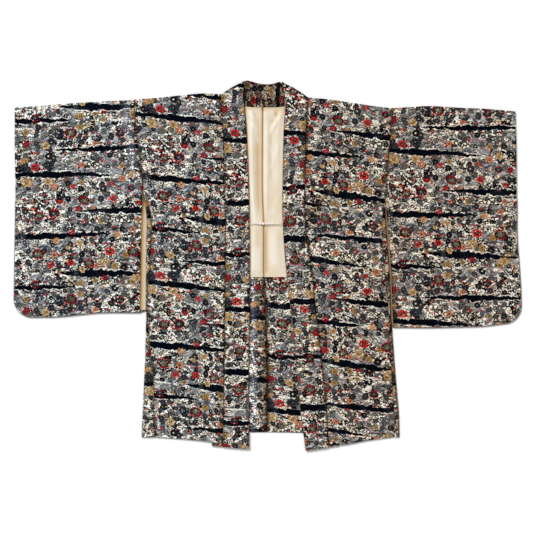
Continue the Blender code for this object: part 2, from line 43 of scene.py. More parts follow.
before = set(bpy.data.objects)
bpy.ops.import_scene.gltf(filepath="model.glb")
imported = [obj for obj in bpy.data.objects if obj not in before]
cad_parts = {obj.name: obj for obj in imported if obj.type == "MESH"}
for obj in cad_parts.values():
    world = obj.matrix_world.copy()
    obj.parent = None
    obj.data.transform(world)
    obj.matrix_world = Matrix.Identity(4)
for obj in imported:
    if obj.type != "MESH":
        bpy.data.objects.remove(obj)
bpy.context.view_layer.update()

MM = 0.001
SIDES = ("right", "left")

# Thicknesses of cloth and the clearance between layers, and the heights that they give above the floor.
CLOTH, LINING, COLLAR_UNDER, COLLAR_OVER, GAP = 1.2, 1.0, 1.0, 2.2, 0.3
LINING_UNDER = CLOTH + GAP
LINING_TOP = LINING_UNDER + LINING
FRONT_TOP = LINING_TOP + GAP + CLOTH
COLLAR_BASE = LINING_TOP + GAP
COLLAR_TOP = COLLAR_BASE + COLLAR_UNDER + GAP + COLLAR_OVER
COLLAR_LIFT = COLLAR_BASE + COLLAR_UNDER + GAP + CLOTH - FRONT_TOP

# The clearance between pieces: at a seam, beside the open sleeve, along the collar and at the back's sides.
SEAM_GAP, SIDE_GAP, COLLAR_GAP, HIDDEN_SEAM_GAP = 0.4, 0.7, 0.7, 2.2

# Where single edges end: the lift beside the collar, the cuff's closed part, the lining, the back's hem, the
# reach of the inner back under the collar, the neck's corner and lap, and the start of the sleeve's opening.
LIFT_FLAT, LIFT_END = 37.0, 110.0
CUFF_STOP_Y, LINING_END_Y = 160.0, -27.6
BACK_HEM_SIDE, BACK_HEM_CENTRE = -416.0, -407.0
UNDER_COLLAR, NECK_CORNER, NECK_LAP, OPEN_BLEND = 38.0, 2.0, -2.6, 4.0
CORNER_RADIUS, SLEEVE_PUFF = 44.0, 2.0

# Rough lengths of the pieces, which set the steps of their grids and the distance to an edge.
BODY_LONG, FRONT_WIDE = 840, 200
SLEEVE_WIDE, SLEEVE_DEEP, CUFF_LONG = 312, 515, 470
COLLAR_LONG, COLLAR_WIDE, COLLAR_STRETCH, COLLAR_END_Y = 880, 56, 1.012, -450
INNER_WIDE, LINING_STRIP = 60, 30
FINER_GRID = 0.7
NECK_POINTS, CORNER_STEPS, NECK_GRID, FOLD_STEPS = 16, 19, (16, 64), 7
EDGE_STEPS = np.array([0.0, 0.7, 1.6, 2.8, 4.4])

# The strip for a wall's rims on the bake's map, and how much painted shade a fold's dip gets and how much
# painted highlight its crest gets.
RIM_LEFT, RIM_RIGHT, RIM_LOW, RIM_HIGH = 0.003, 0.997, 0.988, 0.997
DIP_SHADE, CREST_LIGHT = 0.32, 0.24

# The studio in metres: the floor, the camera's lens and the middle of its view, and the way the sun shines.
FLOOR_Z, FLOOR_HALF = -0.0004, 6
LENS, SENSOR, VIEW_X, VIEW_Y = 200.0, 36.0, -0.00245, -0.00184
SUN_WAY, SUN_ANGLE = (0.52, -0.68, -0.74), 0.45

Outline = namedtuple("Outline", "y x")
Line = namedtuple("Line", "x y")
Collar = namedtuple("Collar", "y seam crease under")
Width = namedtuple("Width", "y width")
Neck = namedtuple("Neck", "x crease")
Fold = namedtuple("Fold", "x0 y0 x1 y1 width height")
Bead = namedtuple("Bead", "x radius")
Bolt = namedtuple("Bolt", "x y tilt stretch pivot")
Bar = namedtuple("Bar", "start peak end along thickness tilt")
Patch = namedtuple("Patch", "across along wide deep")
Bloom = namedtuple("Bloom", "across along radius kind")


def table(kind, *values):
    """Rows of a table: each one's values under that kind's names."""
    return tuple(kind(*row) for row in values)


# The outlines from above: the body's shoulder and side, how much of its gusset shows, the collar's lines and
# ends, the hems, the neck, the back's centre seam and the four edges of each sleeve.
SHOULDER = {
    "right": table(Line, (-327, 407), (-273, 411), (-195, 419), (-156, 422), (-114, 420)),
    "left": table(Line, (304, 386), (276, 389), (197, 401), (153, 407), (100, 412)),
}
SIDE = {
    "right": table(
        Outline, (407, -327), (362, -324), (306, -318), (235, -310), (186, -304), (144, -298),
        (107, -294.5), (63, -296), (-47, -297), (-157, -298), (-231, -300), (-341, -305), (-425, -309),
    ),
    "left": table(
        Outline, (386, 304), (328, 302), (276, 297), (200, 291), (156, 288), (124, 289), (97, 291),
        (34, 296), (-31, 300), (-138, 304), (-226, 310), (-292, 315), (-358, 321), (-425, 323),
    ),
}
GUSSET = {
    "right": table(Width, (190, 0), (176, 3), (-140, 4.5), (-205, 12), (-258, 20), (-425, 31)),
    "left": table(Width, (160, 0), (146, 3), (-150, 5.5), (-300, 9), (-425, 12)),
}
COLLAR = {
    "right": table(
        Collar, (454, -117, -54, 1), (420, -114, -60, 1), (389, -111.5, -56, 8), (345, -109, -52, 30),
        (284, -106, -49, 30), (208, -105, -46, 30), (124, -102, -44, 30), (41, -102, -43, 30),
        (-59, -103, -43, 30), (-157, -104, -44, 30), (-277, -106, -46, 30), (-366, -107, -45.5, 28),
        (-450, -110, -45, 26),
    ),
    "left": table(
        Collar, (451, 104, 33, 1), (420, 101, 41, 1), (389, 98, 42, 8), (345, 95, 40, 30),
        (269, 93, 38, 30), (186, 91, 36.5, 30), (124, 91, 36.5, 30), (41, 99, 41, 30), (-15, 109, 46, 30),
        (-84, 115, 54, 30), (-157, 124, 63, 30), (-231, 132, 69, 30), (-292, 138, 74, 30),
        (-375, 146, 83, 28), (-453, 149, 93, 25),
    ),
}
COLLAR_SLOPE = {
    "right": table(Line, (-114, 420), (-54, 453.2)),
    "left": table(Line, (100, 412), (33, 451)),
}
COLLAR_HEM = {
    "right": table(Line, (-136, -441.6), (-45, -449)),
    "left": table(Line, (174, -441.5), (93, -453)),
}
FRONT_HEM = {
    "right": table(Line, (-309, -419.5), (-235, -424), (-175, -428), (-110, -435)),
    "left": table(Line, (323, -419), (244, -429), (195, -437), (148, -441)),
}
NECKLINE = table(Line, (-111, 408), (-85, 396), (-53, 388), (-13, 386), (40, 388), (72, 396), (98, 403))
NECK = table(
    Neck, (-100, 422), (-80, 434), (-58, 449.2), (-53, 453.4), (-43, 452.4), (-23, 447), (-9, 445),
    (6, 445), (18, 447), (30, 450.2), (36, 446.6), (60, 429.5), (88, 412.5),
)
CENTRE = table(
    Outline, (386, -12), (269, -12.5), (186, -12.5), (102, -9.5), (-28, -9), (-123, -4), (-230, -1),
    (-407, -1),
)
SLEEVE_TOP = {
    "right": table(Line, (-327, 406), (-352, 405), (-430, 401), (-508, 396), (-567, 391), (-621, 388)),
    "left": table(Line, (304, 386), (354, 389), (383, 391), (472, 387), (533, 384.5), (608.5, 378)),
}
SLEEVE_CUFF = {
    "right": table(Outline, (388, -621), (284, -621), (161, -619), (2, -621), (-127, -623)),
    "left": table(
        Outline, (378, 608.5), (284, 611), (161, 612), (51, 613.5), (9, 617), (-35, 620.2), (-150, 623.4),
    ),
}
SLEEVE_BOTTOM = {
    "right": table(Line, (-313, -116), (-410, -117), (-440, -120), (-508, -126), (-579, -127)),
    "left": table(Line, (307, -152), (398, -152.5), (472, -151), (530, -149), (579, -143)),
}
SLEEVE_OPEN = {
    "right": table(Outline, (190, -306.5), (161, -307), (100, -309), (-10, -311), (-116, -313)),
    "left": table(
        Outline, (156, 289.7), (124, 292.3), (97, 294.4), (34, 299.4), (-31, 303), (-84, 305), (-152, 308),
    ),
}

# The main folds of each piece, and the finer creases that only the cloth shows.
SLEEVE_FOLDS = {
    "right": table(
        Fold, (-333, 400, -321, 200, 13, 4.0), (-476, 10, -478, -118, 22, 2.5),
        (-330, 180, -440, 50, 38, 2.5), (-600, 352, -400, 372, 42, 1.8), (-600, 200, -596, -60, 28, 2.0),
    ),
    "left": table(
        Fold, (322, 384, 308, 170, 15, 3.2), (325, 150, 440, 0, 38, 2.4), (588, 330, 598, -60, 28, 2.2),
        (360, -40, 520, -110, 36, 1.8), (360, 350, 560, 340, 40, 1.6),
    ),
}
SLEEVE_CREASES = {
    "right": table(
        Fold, (-340, 372, -322, 350, 5, 1.2), (-342, 330, -320, 312, 5, 1.3),
        (-338, 296, -316, 280, 5, 1.0), (-336, 262, -312, 244, 6, 1.1), (-334, 226, -311, 212, 5, 0.9),
        (-452, -20, -450, -112, 6, 0.9), (-352, 200, -420, 120, 9, 0.9), (-560, 378, -430, 386, 8, 0.7),
        (-590, 40, -520, -30, 10, 0.7), (-481, -15, -482, -122, 6, -1.8), (-420, 60, -400, -60, 8, -0.7),
        (-350, 60, -345, -90, 7, -0.8),
    ),
    "left": table(
        Fold, (316, 362, 338, 344, 6, 1.1), (312, 318, 336, 300, 6, 1.2), (306, 272, 330, 262, 6, 1.0),
        (302, 232, 326, 216, 6, 1.0), (330, 120, 400, 40, 10, 0.9), (560, 300, 575, 60, 9, 0.7),
        (330, -40, 380, -130, 9, 0.8), (420, 372, 540, 366, 8, 0.7), (322, 130, 330, -60, 7, -0.9),
        (400, 380, 392, 280, 8, -0.8), (480, -60, 500, -140, 8, -0.8),
    ),
}
FRONT_FOLDS = {
    "right": table(
        Fold, (-205, 392, -122, 300, 24, 3.0), (-285, 350, -250, 170, 28, 2.4),
        (-235, 80, -170, -150, 38, 2.4), (-200, -200, -190, -430, 34, 2.2),
        (-262, -180, -258, -400, 24, 1.8),
    ),
    "left": table(
        Fold, (106, 80, 165, 175, 17, 3.8), (112, 385, 168, 295, 18, 3.4), (245, 350, 200, 110, 34, 2.8),
        (252, 60, 228, -150, 38, 2.4), (205, -190, 232, -430, 34, 2.2),
    ),
}
FRONT_CREASES = {
    "right": table(
        Fold, (-190, 410, -128, 330, 8, 1.2), (-160, 405, -120, 372, 7, 0.9),
        (-300, 300, -262, 240, 8, 1.0), (-128, 200, -114, 60, 7, 0.8), (-280, 60, -262, -80, 9, 0.8),
        (-150, -60, -118, -160, 9, 0.8), (-125, -250, -116, -420, 7, 0.9), (-282, -250, -276, -400, 7, 0.8),
        (-186, 408, -112, 318, 9, -1.6), (-226, 360, -238, 240, 8, -0.8), (-118, -280, -112, -430, 9, -1.4),
        (-262, 40, -240, -110, 9, -0.8), (-150, 180, -124, 60, 8, -0.7),
    ),
    "left": table(
        Fold, (104, 60, 156, 150, 7, 1.4), (108, 330, 150, 306, 6, 1.1), (106, 356, 150, 344, 6, 1.0),
        (272, 330, 240, 230, 9, 0.9), (120, 30, 136, -100, 8, 0.8), (270, 90, 280, -60, 8, 0.8),
        (150, -220, 172, -420, 8, 0.9), (300, -240, 296, -400, 8, 0.8), (96, 98, 156, 198, 9, -2.3),
        (102, 352, 150, 322, 7, -1.3), (104, 300, 128, 286, 6, -1.0), (262, 40, 250, -90, 9, -0.8),
        (190, 330, 214, 230, 9, -0.7), (200, -240, 214, -400, 9, -0.9),
    ),
}
CENTRE_ROLL = Fold(-21, 112, -19, -60, 8, 2.0)
TURN_UP_ROLL = Fold(-30, -20, -26, -410, 11, 4.6)
LINING_CREASES = table(
    Fold, (-39, 390, -40, 150, 8, 2.4), (-40, 196, -27, 94, 8, 2.3), (-35, 104, -36, -40, 9, 1.9),
    (-2, 380, -3, 128, 6, 2.1), (16, 92, 20, -14, 11, 1.6), (40, 384, 4, 320, 6, 1.6),
    (-50, 384, -24, 324, 5, 1.5), (24, 330, 26, 180, 9, 0.9), (30, 300, 8, 232, 6, 0.8),
    (4, 300, 14, 262, 5, 0.6), (28, 176, 14, 118, 7, 0.7), (-28, 330, -22, 296, 4, 0.7),
    (-25, 372, -23, 92, 9, -1.3), (-56, 380, -34, 346, 5, -1.3), (7, 352, 9, 206, 5, -0.9),
    (26, 386, 12, 344, 6, -1.1), (-51, 206, -45, 108, 5, -1.3), (-3, 98, -2, -60, 6, -1.2),
    (-24, 90, -22, 40, 4, -0.9), (30, 350, 33, 240, 6, -0.5), (31, 96, 37, -20, 6, -0.5),
    (-45, 387, -31, 350, 4, 1.1), (-36, 388, -29, 362, 3, -0.9), (6, 388, 20, 352, 4, 1.0),
    (16, 386, 28, 358, 3, -0.8), (34, 372, 24, 316, 4, 0.9), (-10, 388, -3, 360, 4, 0.9),
)
TURN_UP_CREASES = table(
    Fold, (16, -300, 20, -405, 6, 1.0), (30, -60, 44, -190, 8, 0.7), (-36, -250, -24, -300, 7, 0.8),
)

# How deep the painted shade is beside the seams, and for the inner back its reach from the seam as well.
SIDE_SHADE = {"right": 0.75, "left": 0.45}
GUSSET_SHADE = {"right": 0.6, "left": 0.35}
EDGE_SHADE = {"right": 0.2, "left": 0.85}
ARMHOLE_SHADE = {"right": 0.3, "left": 0.75}
COLLAR_SHADE = {"right": 0.5, "left": 0.75}
CENTRE_SHADE = {"right": (2.6, 0.8), "left": (2.8, 0.75)}
OPENING_SHADE = {"right": (2.4, 0.5), "left": (2.0, 0.2)}
TURN_UP_SHADE = {"right": (13.0, 0.8), "left": (6.0, 0.8)}
# Across the back, where a painted highlight runs along the crest of the turn-up's roll.
ROLL_CREST = -36.0

# Where each piece lies in the printed bolt: the place of the bolt's left edge and of a repeat's start.
SLEEVE_BOLT = {"right": Bolt(-621, 406, -0.02, 1.0, -465), "left": Bolt(278, 461, 0.03, 1.02, 450)}
FRONT_BOLT = {"right": Bolt(-315, 536, 0.1, 1.0, -153), "left": Bolt(1, 602, 0.12, 1.01, 190)}
COLLAR_EDGE, COLLAR_INSIDE = 24.5, 60.0
COLLAR_START = {"right": 490.0, "left": 141.5}
NECK_EDGE, NECK_START = 126.0, 359.0
GUSSET_PLACE, GUSSET_UNDER, LINING_PLACE = (20, 300), 8, (700, 500)
TURN_UP_BOLT = {"right": Bolt(-55, 53, 0.0, 1.0, -30), "left": Bolt(-23, 235, 0.1, 1.0, 20)}

# One repeat of the print: the dark bands of mist, and the patches of cracked lines.
REPEAT = 408.0
MIST = table(
    Bar, (108, 190, 345, 14.0, 19.0, 0.02), (-90, 55, 150, 49.0, 14.5, 0.0),
    (96, 235, 370, 124.0, 15.0, -0.02), (-80, 95, 250, 180.0, 16.5, 0.02),
    (150, 276, 390, 272.0, 16.5, 0.0), (-110, 92, 240, 334.0, 18.5, -0.02),
)
RING, DARK_RING, SOLID, SLATE, GOLD, MAPLE, GOLD_MAPLE = range(7)
BLOOMS = table(
    Bloom, (140, 80, 15, RING), (52, 42, 11, DARK_RING), (260, 84, 11, DARK_RING), (52, 163, 11, SOLID),
    (98, 277, 14, DARK_RING), (62, 282, 13, RING), (173, 247, 13, RING), (60, 376, 15, RING),
    (292, 374, 15, RING), (235, 372, 12, SOLID), (184, 400, 13, RING), (140, 398, 9, SOLID),
    (92, 403, 9, SOLID), (222, 398, 13, GOLD), (287, 218, 10, DARK_RING), (243, 243, 9, SOLID),
    (111, 80, 13, SLATE), (92, 101, 10, SLATE), (119, 110, 9, SLATE), (78, 110, 11, GOLD),
    (32, 200, 13, GOLD), (85, 198, 11, GOLD), (290, 185, 10, GOLD), (84, 158, 12, SLATE),
    (206, 96, 9, SLATE), (300, 30, 12, GOLD), (18, 330, 11, SLATE), (160, 350, 9, GOLD), (168, 8, 8, GOLD),
    (133, 362, 6, GOLD), (152, 16, 6, SLATE), (141, 323, 10, MAPLE), (103, 343, 11, GOLD_MAPLE),
    (254, 330, 11, GOLD_MAPLE), (171, 297, 8, MAPLE), (306, 255, 9, MAPLE), (159, 266, 9, MAPLE),
    (145, 212, 10, MAPLE), (240, 206, 9, MAPLE), (20, 148, 9, GOLD_MAPLE), (218, 150, 8, MAPLE),
)
BLOOM_SQUAT = 1.2
CRACKLE = table(Patch, (205, 38, 40, 8), (186, 162, 40, 8), (266, 294, 50, 9), (196, 290, 26, 7))

# The tie: its line, the half width of an end bead where its loop begins, its loops, beads and their grids.
TIE_Y, TIE_Z, TIE_NECK = 103.0, COLLAR_TOP + 0.8, 0.8
LOOP_RADIUS, LOOP_CORD, POLE_RING = 2.4, 0.6, 0.14
LOOP_STEPS, CORD_STEPS, BEAD_STEPS, STRING_STEPS = 48, 12, (13, 20), (60, 8)
TIE_BEADS = table(
    Bead, (-36.0, 1.6), (-30.2, 2.0), (-23.8, 2.4), (-17.0, 2.7), (-10.2, 3.2), (-2.9, 2.9), (4.5, 2.6),
    (11.8, 2.6), (18.4, 2.0), (23.6, 1.7), (27.3, 1.4),
)


def tint(red, green, blue):
    """A colour as light adds it up, from the 0 to 255 steps that a screen shows."""
    step = np.array([red, green, blue]) / 255
    light = np.where(step <= 0.04045, step / 12.92, ((step + 0.055) / 1.055) ** 2.4)
    return tuple(float(x) for x in light)


def rgba(colour):
    """A colour for a socket: a tuple holds 0 to 255 screen steps, and a property holds light already."""
    return (*(tint(*colour) if isinstance(colour, tuple) else colour), 1.0)


def colour_property(name, description, default):
    """A colour that the panel can change."""
    return bpy.props.FloatVectorProperty(
        name=name, description=description, default=default, subtype="COLOR", size=3, min=0.0, max=1.0
    )


def amount(name, description, default, low=0.0, high=1.0, unit="NONE"):
    """A number that the panel can change between two limits."""
    return bpy.props.FloatProperty(
        name=name, description=description, default=default, min=low, max=high, unit=unit
    )


class HaoriPrint(bpy.types.PropertyGroup):
    ground: colour_property("Ground", "Ivory of the unprinted silk", tint(240, 233, 220))
    ink: colour_property("Ink", "Near black of the drawn lines", tint(5, 5, 7))
    navy: colour_property("Mist", "Blue black of the bands of mist", tint(6, 11, 20))
    slate: colour_property("Slate", "Blue grey of the dark flowers", tint(54, 58, 66))
    red: colour_property("Red", "Red of the ringed flowers", tint(192, 36, 49))
    salmon: colour_property("Salmon", "Pale red of the streaks", tint(206, 108, 84))
    mustard: colour_property("Mustard", "Dull gold of the plum flowers", tint(174, 140, 96))
    sage: colour_property("Sage", "Grey green of the flower centres", tint(104, 101, 86))
    roughness: amount("Roughness", "How matt the crepe silk is", 0.8)
    crepe: amount("Crepe", "Height of the crepe grain", 0.00012, 0.0, 0.001, "LENGTH")


class HaoriCloth(bpy.types.PropertyGroup):
    step: amount("Grid", "Spacing of the cloth's grid", 0.004, 0.002, 0.02, "LENGTH")
    crease: amount("Crease", "Share of the full height of the fine creases", 1.0, 0.0, 2.0)
    pucker: amount("Pucker", "Height of the puckers by a seam", 0.0007, 0.0, 0.003, "LENGTH")
    sway: amount("Sway", "Height of the cloth's wide unevenness", 0.0014, 0.0, 0.004, "LENGTH")


class HaoriLining(bpy.types.PropertyGroup):
    silk: colour_property("Silk", "Cream of the lining", tint(221, 209, 188))
    shade: colour_property("Shade", "Warmer cream where the lining has aged", tint(212, 189, 152))
    roughness: amount("Roughness", "How matt the lining is", 0.5)


class HaoriTie(bpy.types.PropertyGroup):
    pearl: colour_property("Pearl", "Body colour of the beads", tint(248, 243, 242))
    blush: colour_property("Blush", "Pink cast on some of the beads", tint(238, 218, 220))
    cord: colour_property("Cord", "Colour of the string and loops", tint(214, 202, 186))


class HaoriStage(bpy.types.PropertyGroup):
    floor: colour_property("Floor", "Colour of the floor", (0.9, 0.9, 0.9))
    width: amount("View width", "Width of floor that the camera sees", 1.30585, 0.5, 5.0, "LENGTH")
    key: amount("Key", "Strength of the soft light from the upper left", 3.0, 0.0, 20.0)
    fill: amount("Fill", "Strength of the light all round", 0.52, 0.0, 5.0)


def through(rows, key, column, at):
    """A smooth curve through a table's rows: one column as a function of another, straight past its ends."""
    rows = sorted(rows, key=lambda row: getattr(row, key))
    keys = np.array([getattr(row, key) for row in rows], float)
    values = np.array([getattr(row, column) for row in rows], float)
    slopes = np.gradient(values, keys)
    at = np.asarray(at, float)
    inside = np.clip(at, keys[0], keys[-1])
    low = np.clip(np.searchsorted(keys, inside) - 1, 0, len(keys) - 2)
    span = keys[low + 1] - keys[low]
    t = (inside - keys[low]) / span
    curve = (
        (2 * t**3 - 3 * t**2 + 1) * values[low]
        + (t**3 - 2 * t**2 + t) * span * slopes[low]
        + (3 * t**2 - 2 * t**3) * values[low + 1]
        + (t**3 - t**2) * span * slopes[low + 1]
    )
    return curve + (at - inside) * np.where(at > inside, slopes[-1], slopes[0])


def x_at(rows, y):
    """Where a table's line lies across at a height."""
    return through(rows, "y", "x", y)


def y_at(rows, x):
    """How high a table's line lies at a place across."""
    return through(rows, "x", "y", x)


def between(start, end, share):
    """The value at a share of the way from start to end."""
    return start * (1 - share) + end * share


def across(rows, u):
    """The height in Y of an edge, as u goes from its first row's x to its last row's x."""
    return y_at(rows, between(rows[0].x, rows[-1].x, u))


def ease(t):
    """A smooth step from 0 to 1."""
    t = np.clip(t, 0, 1)
    return t * t * (3 - 2 * t)


def within(share, start, end=None):
    """Nothing at both ends of a share and 1 between them, by how fast it rises and how fast it falls."""
    return ease(share * start) * ease((1 - share) * (end or start))


def ridge(x, y, folds):
    """How high the folds lift the cloth: a bell across each fold, fading to nothing at its two ends."""
    lift = np.zeros(np.broadcast(x, y).shape)
    for fold in folds:
        along = np.array([fold.x1 - fold.x0, fold.y1 - fold.y0])
        length = np.hypot(*along)
        along = along / length
        run = (x - fold.x0) * along[0] + (y - fold.y0) * along[1]
        side = (x - fold.x0) * along[1] - (y - fold.y0) * along[0]
        fade = ease(run / length * 3 + 0.3) * ease((1 - run / length) * 3 + 0.3)
        lift += fold.height * np.exp(-((side / fold.width) ** 2)) * fade
    return lift


def uneven(x, y, size, seed):
    """A soft field from 0 to 1: the mean of six sines of about one size, each in its own direction."""
    angle = (np.arange(6) * 2.399 + seed) % (2 * np.pi)
    pitch = 2 * np.pi / (size * (0.75 + 0.11 * np.arange(6)))
    wave = np.zeros(np.broadcast(x, y).shape)
    for turn, rate, start in zip(angle, pitch, (angle * 7.1) % 6.28):
        wave += np.sin((x * np.cos(turn) + y * np.sin(turn)) * rate + start)
    return 0.5 + wave / 12


def steps(length, step):
    """Fractions from 0 to 1: even steps, with closer ones beside both ends, where an edge rolls over."""
    even = np.linspace(EDGE_STEPS[-1], length - EDGE_STEPS[-1], max(3, round(length / step)))[1:-1]
    return np.concatenate([EDGE_STEPS, even, length - EDGE_STEPS[::-1]]) / length


def points(x, y, z):
    """Stacks coordinates of any matching shapes into one array of points."""
    return np.stack(np.broadcast_arrays(x, y, z), axis=-1).astype(float)


def cloth_place(bolt, x, y, shade=0.0):
    """The place in the bolt, across from its left edge and down from a repeat's start, and its shade."""
    along = (bolt.y - y) / bolt.stretch - bolt.tilt * (x - bolt.pivot)
    return points(x - bolt.x, along, shade)


def seam_shade(distance, reach, depth):
    """Painted shade: the full depth at a seam, fading over a reach from it; where it is subtracted it paints
    a highlight instead.
    """
    return depth * np.exp(-((np.abs(distance) / reach) ** 1.5))


def hollow_shade(lift):
    """Darker where a fold dips and lighter where its crest catches the light: a share a millimetre."""
    return np.clip(-lift, 0, None) * DIP_SHADE - np.clip(lift, 0, None) * CREST_LIGHT


class ClothWall:
    """A wall of cloth being cut: its faces, and its points' outer, inner and printed places."""

    def __init__(self):
        self.outer, self.inner, self.bolt = [], [], []
        self.count = 0
        self.faces, self.charts, self.backs = [], [], []

    def add(self, outer, inner, bolt):
        """Adds a grid of points and returns their numbers in the same grid."""
        self.outer.append(outer.reshape(-1, 3))
        self.inner.append(inner.reshape(-1, 3))
        self.bolt.append(np.broadcast_to(bolt, outer.shape[:-1] + (3,)).reshape(-1, 3))
        first = self.count
        self.count += self.outer[-1].shape[0]
        return np.arange(first, self.count).reshape(outer.shape[:-1])

    def layer(self, x, y, outer_z, inner_z, bolt):
        """Adds a grid of points whose outer and inner places differ only in height."""
        return self.add(points(x, y, outer_z), points(x, y, inner_z), bolt)

    def all_points(self):
        """The outer places, the inner places and the places in the bolt of all points so far."""
        return np.concatenate(self.outer), np.concatenate(self.inner), np.concatenate(self.bolt)

    def cover(self, grid, chart, back):
        """Adds a face in each cell of a grid, and gives each side of it a rectangle of the bake's map."""
        rows, columns = np.meshgrid(*(np.linspace(0, 1, size) for size in grid.shape), indexing="ij")
        self.faces.append(cells(grid))
        self.charts.append(cells(fit_chart(rows, columns, chart)))
        self.backs.append(cells(fit_chart(rows, columns, back)))

    def turn(self, upper, lower, outward):
        """Folds the cloth in a half round from upper to lower points, and returns the grid across it."""
        outer, inner, bolt = self.all_points()
        degrees = np.linspace(90, -90, FOLD_STEPS + 2)[1:-1, None, None]
        rise, reach = (1 + np.sin(degrees * np.pi / 180)) / 2, np.cos(degrees * np.pi / 180)
        sides = []
        for places in (outer, inner):
            over, under = places[upper], places[lower]
            place = between(under, over, rise)
            place[..., :2] += outward * (np.abs(over[:, 2:] - under[:, 2:]) / 2) * reach
            sides.append(place)
        middle = self.add(*sides, between(bolt[upper], bolt[lower], (90 - degrees) / 180))
        return np.concatenate([upper[None], middle, lower[None]])

    def piece(self, name, node, material, slot, flat, area, rests_on):
        """Makes the closed wall as an object: outer faces, inner faces turned over, and rims."""
        outer, inner, bolt = self.all_points()
        faces, charts, backs = (np.concatenate(x) for x in (self.faces, self.charts, self.backs))
        tail, head = faces.ravel(), np.roll(faces, -1, axis=1).ravel()
        bare = ~np.isin(tail.astype(np.int64) * self.count + head, head.astype(np.int64) * self.count + tail)
        tail, head = tail[bare], head[bare]
        rims = np.stack([head, tail, tail + self.count, head + self.count], axis=1)
        strip = np.linspace(RIM_LEFT, RIM_RIGHT, len(rims) + 1)
        left, right = strip[:-1], strip[1:]
        low, high = np.full(len(rims), RIM_LOW), np.full(len(rims), RIM_HIGH)
        corners = (left, low), (right, low), (right, high), (left, high)
        rim_chart = np.stack([np.stack(corner, axis=-1) for corner in corners], axis=1)
        places = np.concatenate([outer, inner])
        faces = np.concatenate([faces, faces[:, ::-1] + self.count, rims])
        charts = np.concatenate([charts, backs[:, ::-1], rim_chart])
        bolts = np.concatenate([bolt, bolt])
        maps = {"Cloth": bolts[faces][..., :2] * MM, "OFBake": charts}
        obj = mesh_piece(name, places, faces, material, maps)
        # Each point's painted shade, below 0 for a painted highlight, kept for the materials.
        shade = obj.data.attributes.new("Shade", "FLOAT", "POINT")
        shade.data.foreach_set("value", np.clip(bolts[:, 2], -1, 1).astype(np.float32))
        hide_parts(node)
        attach(obj, "root")
        return obj


def cells(grid):
    """The four corners of each cell of a grid, with one row per cell."""
    corners = np.stack([grid[:-1, :-1], grid[1:, :-1], grid[1:, 1:], grid[:-1, 1:]], axis=2)
    return corners.reshape(-1, 4, *grid.shape[2:])


def fit_chart(rows, columns, chart):
    """Spreads a grid's rows and columns over a rectangle of a map."""
    left, low, right, high = chart
    return np.stack([left + (right - left) * columns, low + (high - low) * rows], axis=-1)


def mesh_piece(name, places, faces, material, maps, sharp=50):
    """A mesh object from places in millimetres and four-cornered faces, which are turned outwards."""
    a, b, c, d = (places[faces[:, i]] for i in range(4))
    volume = (np.cross(a, b) * c).sum() + (np.cross(a, c) * d).sum()
    if volume < 0:
        faces = faces[:, ::-1]
        maps = {layer: corners[:, ::-1] for layer, corners in maps.items()}
    mesh = bpy.data.meshes.new(name)
    mesh.vertices.add(len(places))
    mesh.vertices.foreach_set("co", (places * MM).astype(np.float32).ravel())
    mesh.loops.add(faces.size)
    mesh.loops.foreach_set("vertex_index", faces.astype(np.int32).ravel())
    mesh.polygons.add(len(faces))
    mesh.polygons.foreach_set("loop_start", np.arange(0, faces.size, 4, dtype=np.int32))
    mesh.update(calc_edges=True)
    for layer, corners in maps.items():
        mesh.uv_layers.new(name=layer).uv.foreach_set("vector", corners.astype(np.float32).ravel())
    if mesh.validate():
        raise RuntimeError(f"{name} has faces that don't hold")
    mesh.shade_smooth()
    mesh.set_sharp_from_angle(angle=np.radians(sharp))
    mesh.materials.append(material)
    obj = bpy.data.objects.new(name, mesh)
    bpy.context.scene.collection.objects.link(obj)
    return obj


def outline_x(side, y):
    """The body's side edge, up to the shoulder."""
    return x_at(SIDE[side], y)


def collar_line(side, line, y):
    """One of the collar's lines at a height: its seam, its crease, or how far it runs under the front."""
    return through(COLLAR[side], "y", line, y)


def inward(side):
    """+1 where the body's middle lies towards +X, and -1 where it lies towards -X."""
    return 1 if side == "right" else -1


def gusset_width(side, y):
    """How far the gusset reaches in from the edge, from nothing where it starts below the armhole."""
    return through(GUSSET[side], "y", "width", y) * ease((GUSSET[side][1].y + 8 - y) / 8)


def panel_side_x(side, y):
    """Where the front and back are sewn to the sleeve or the gusset."""
    return outline_x(side, y) + inward(side) * (gusset_width(side, y) + SEAM_GAP)


def rolled(distance, reach, drop):
    """How far an edge rolls down: a quarter round from the full drop at the edge to nothing at its reach."""
    share = np.clip(1 - distance / reach, 0, 1)
    return drop * (1 - np.sqrt(1 - share**2))


def front_top_z(side, x, y, edge):
    """The front's top: level, lifted where the collar runs under it, and raised by folds inside it."""
    reach = np.abs(x - collar_line(side, "seam", y))
    lift = COLLAR_LIFT * (1 - ease((reach - LIFT_FLAT) / (LIFT_END - LIFT_FLAT)))
    return FRONT_TOP + lift + ridge(x, y, FRONT_FOLDS[side]) * edge


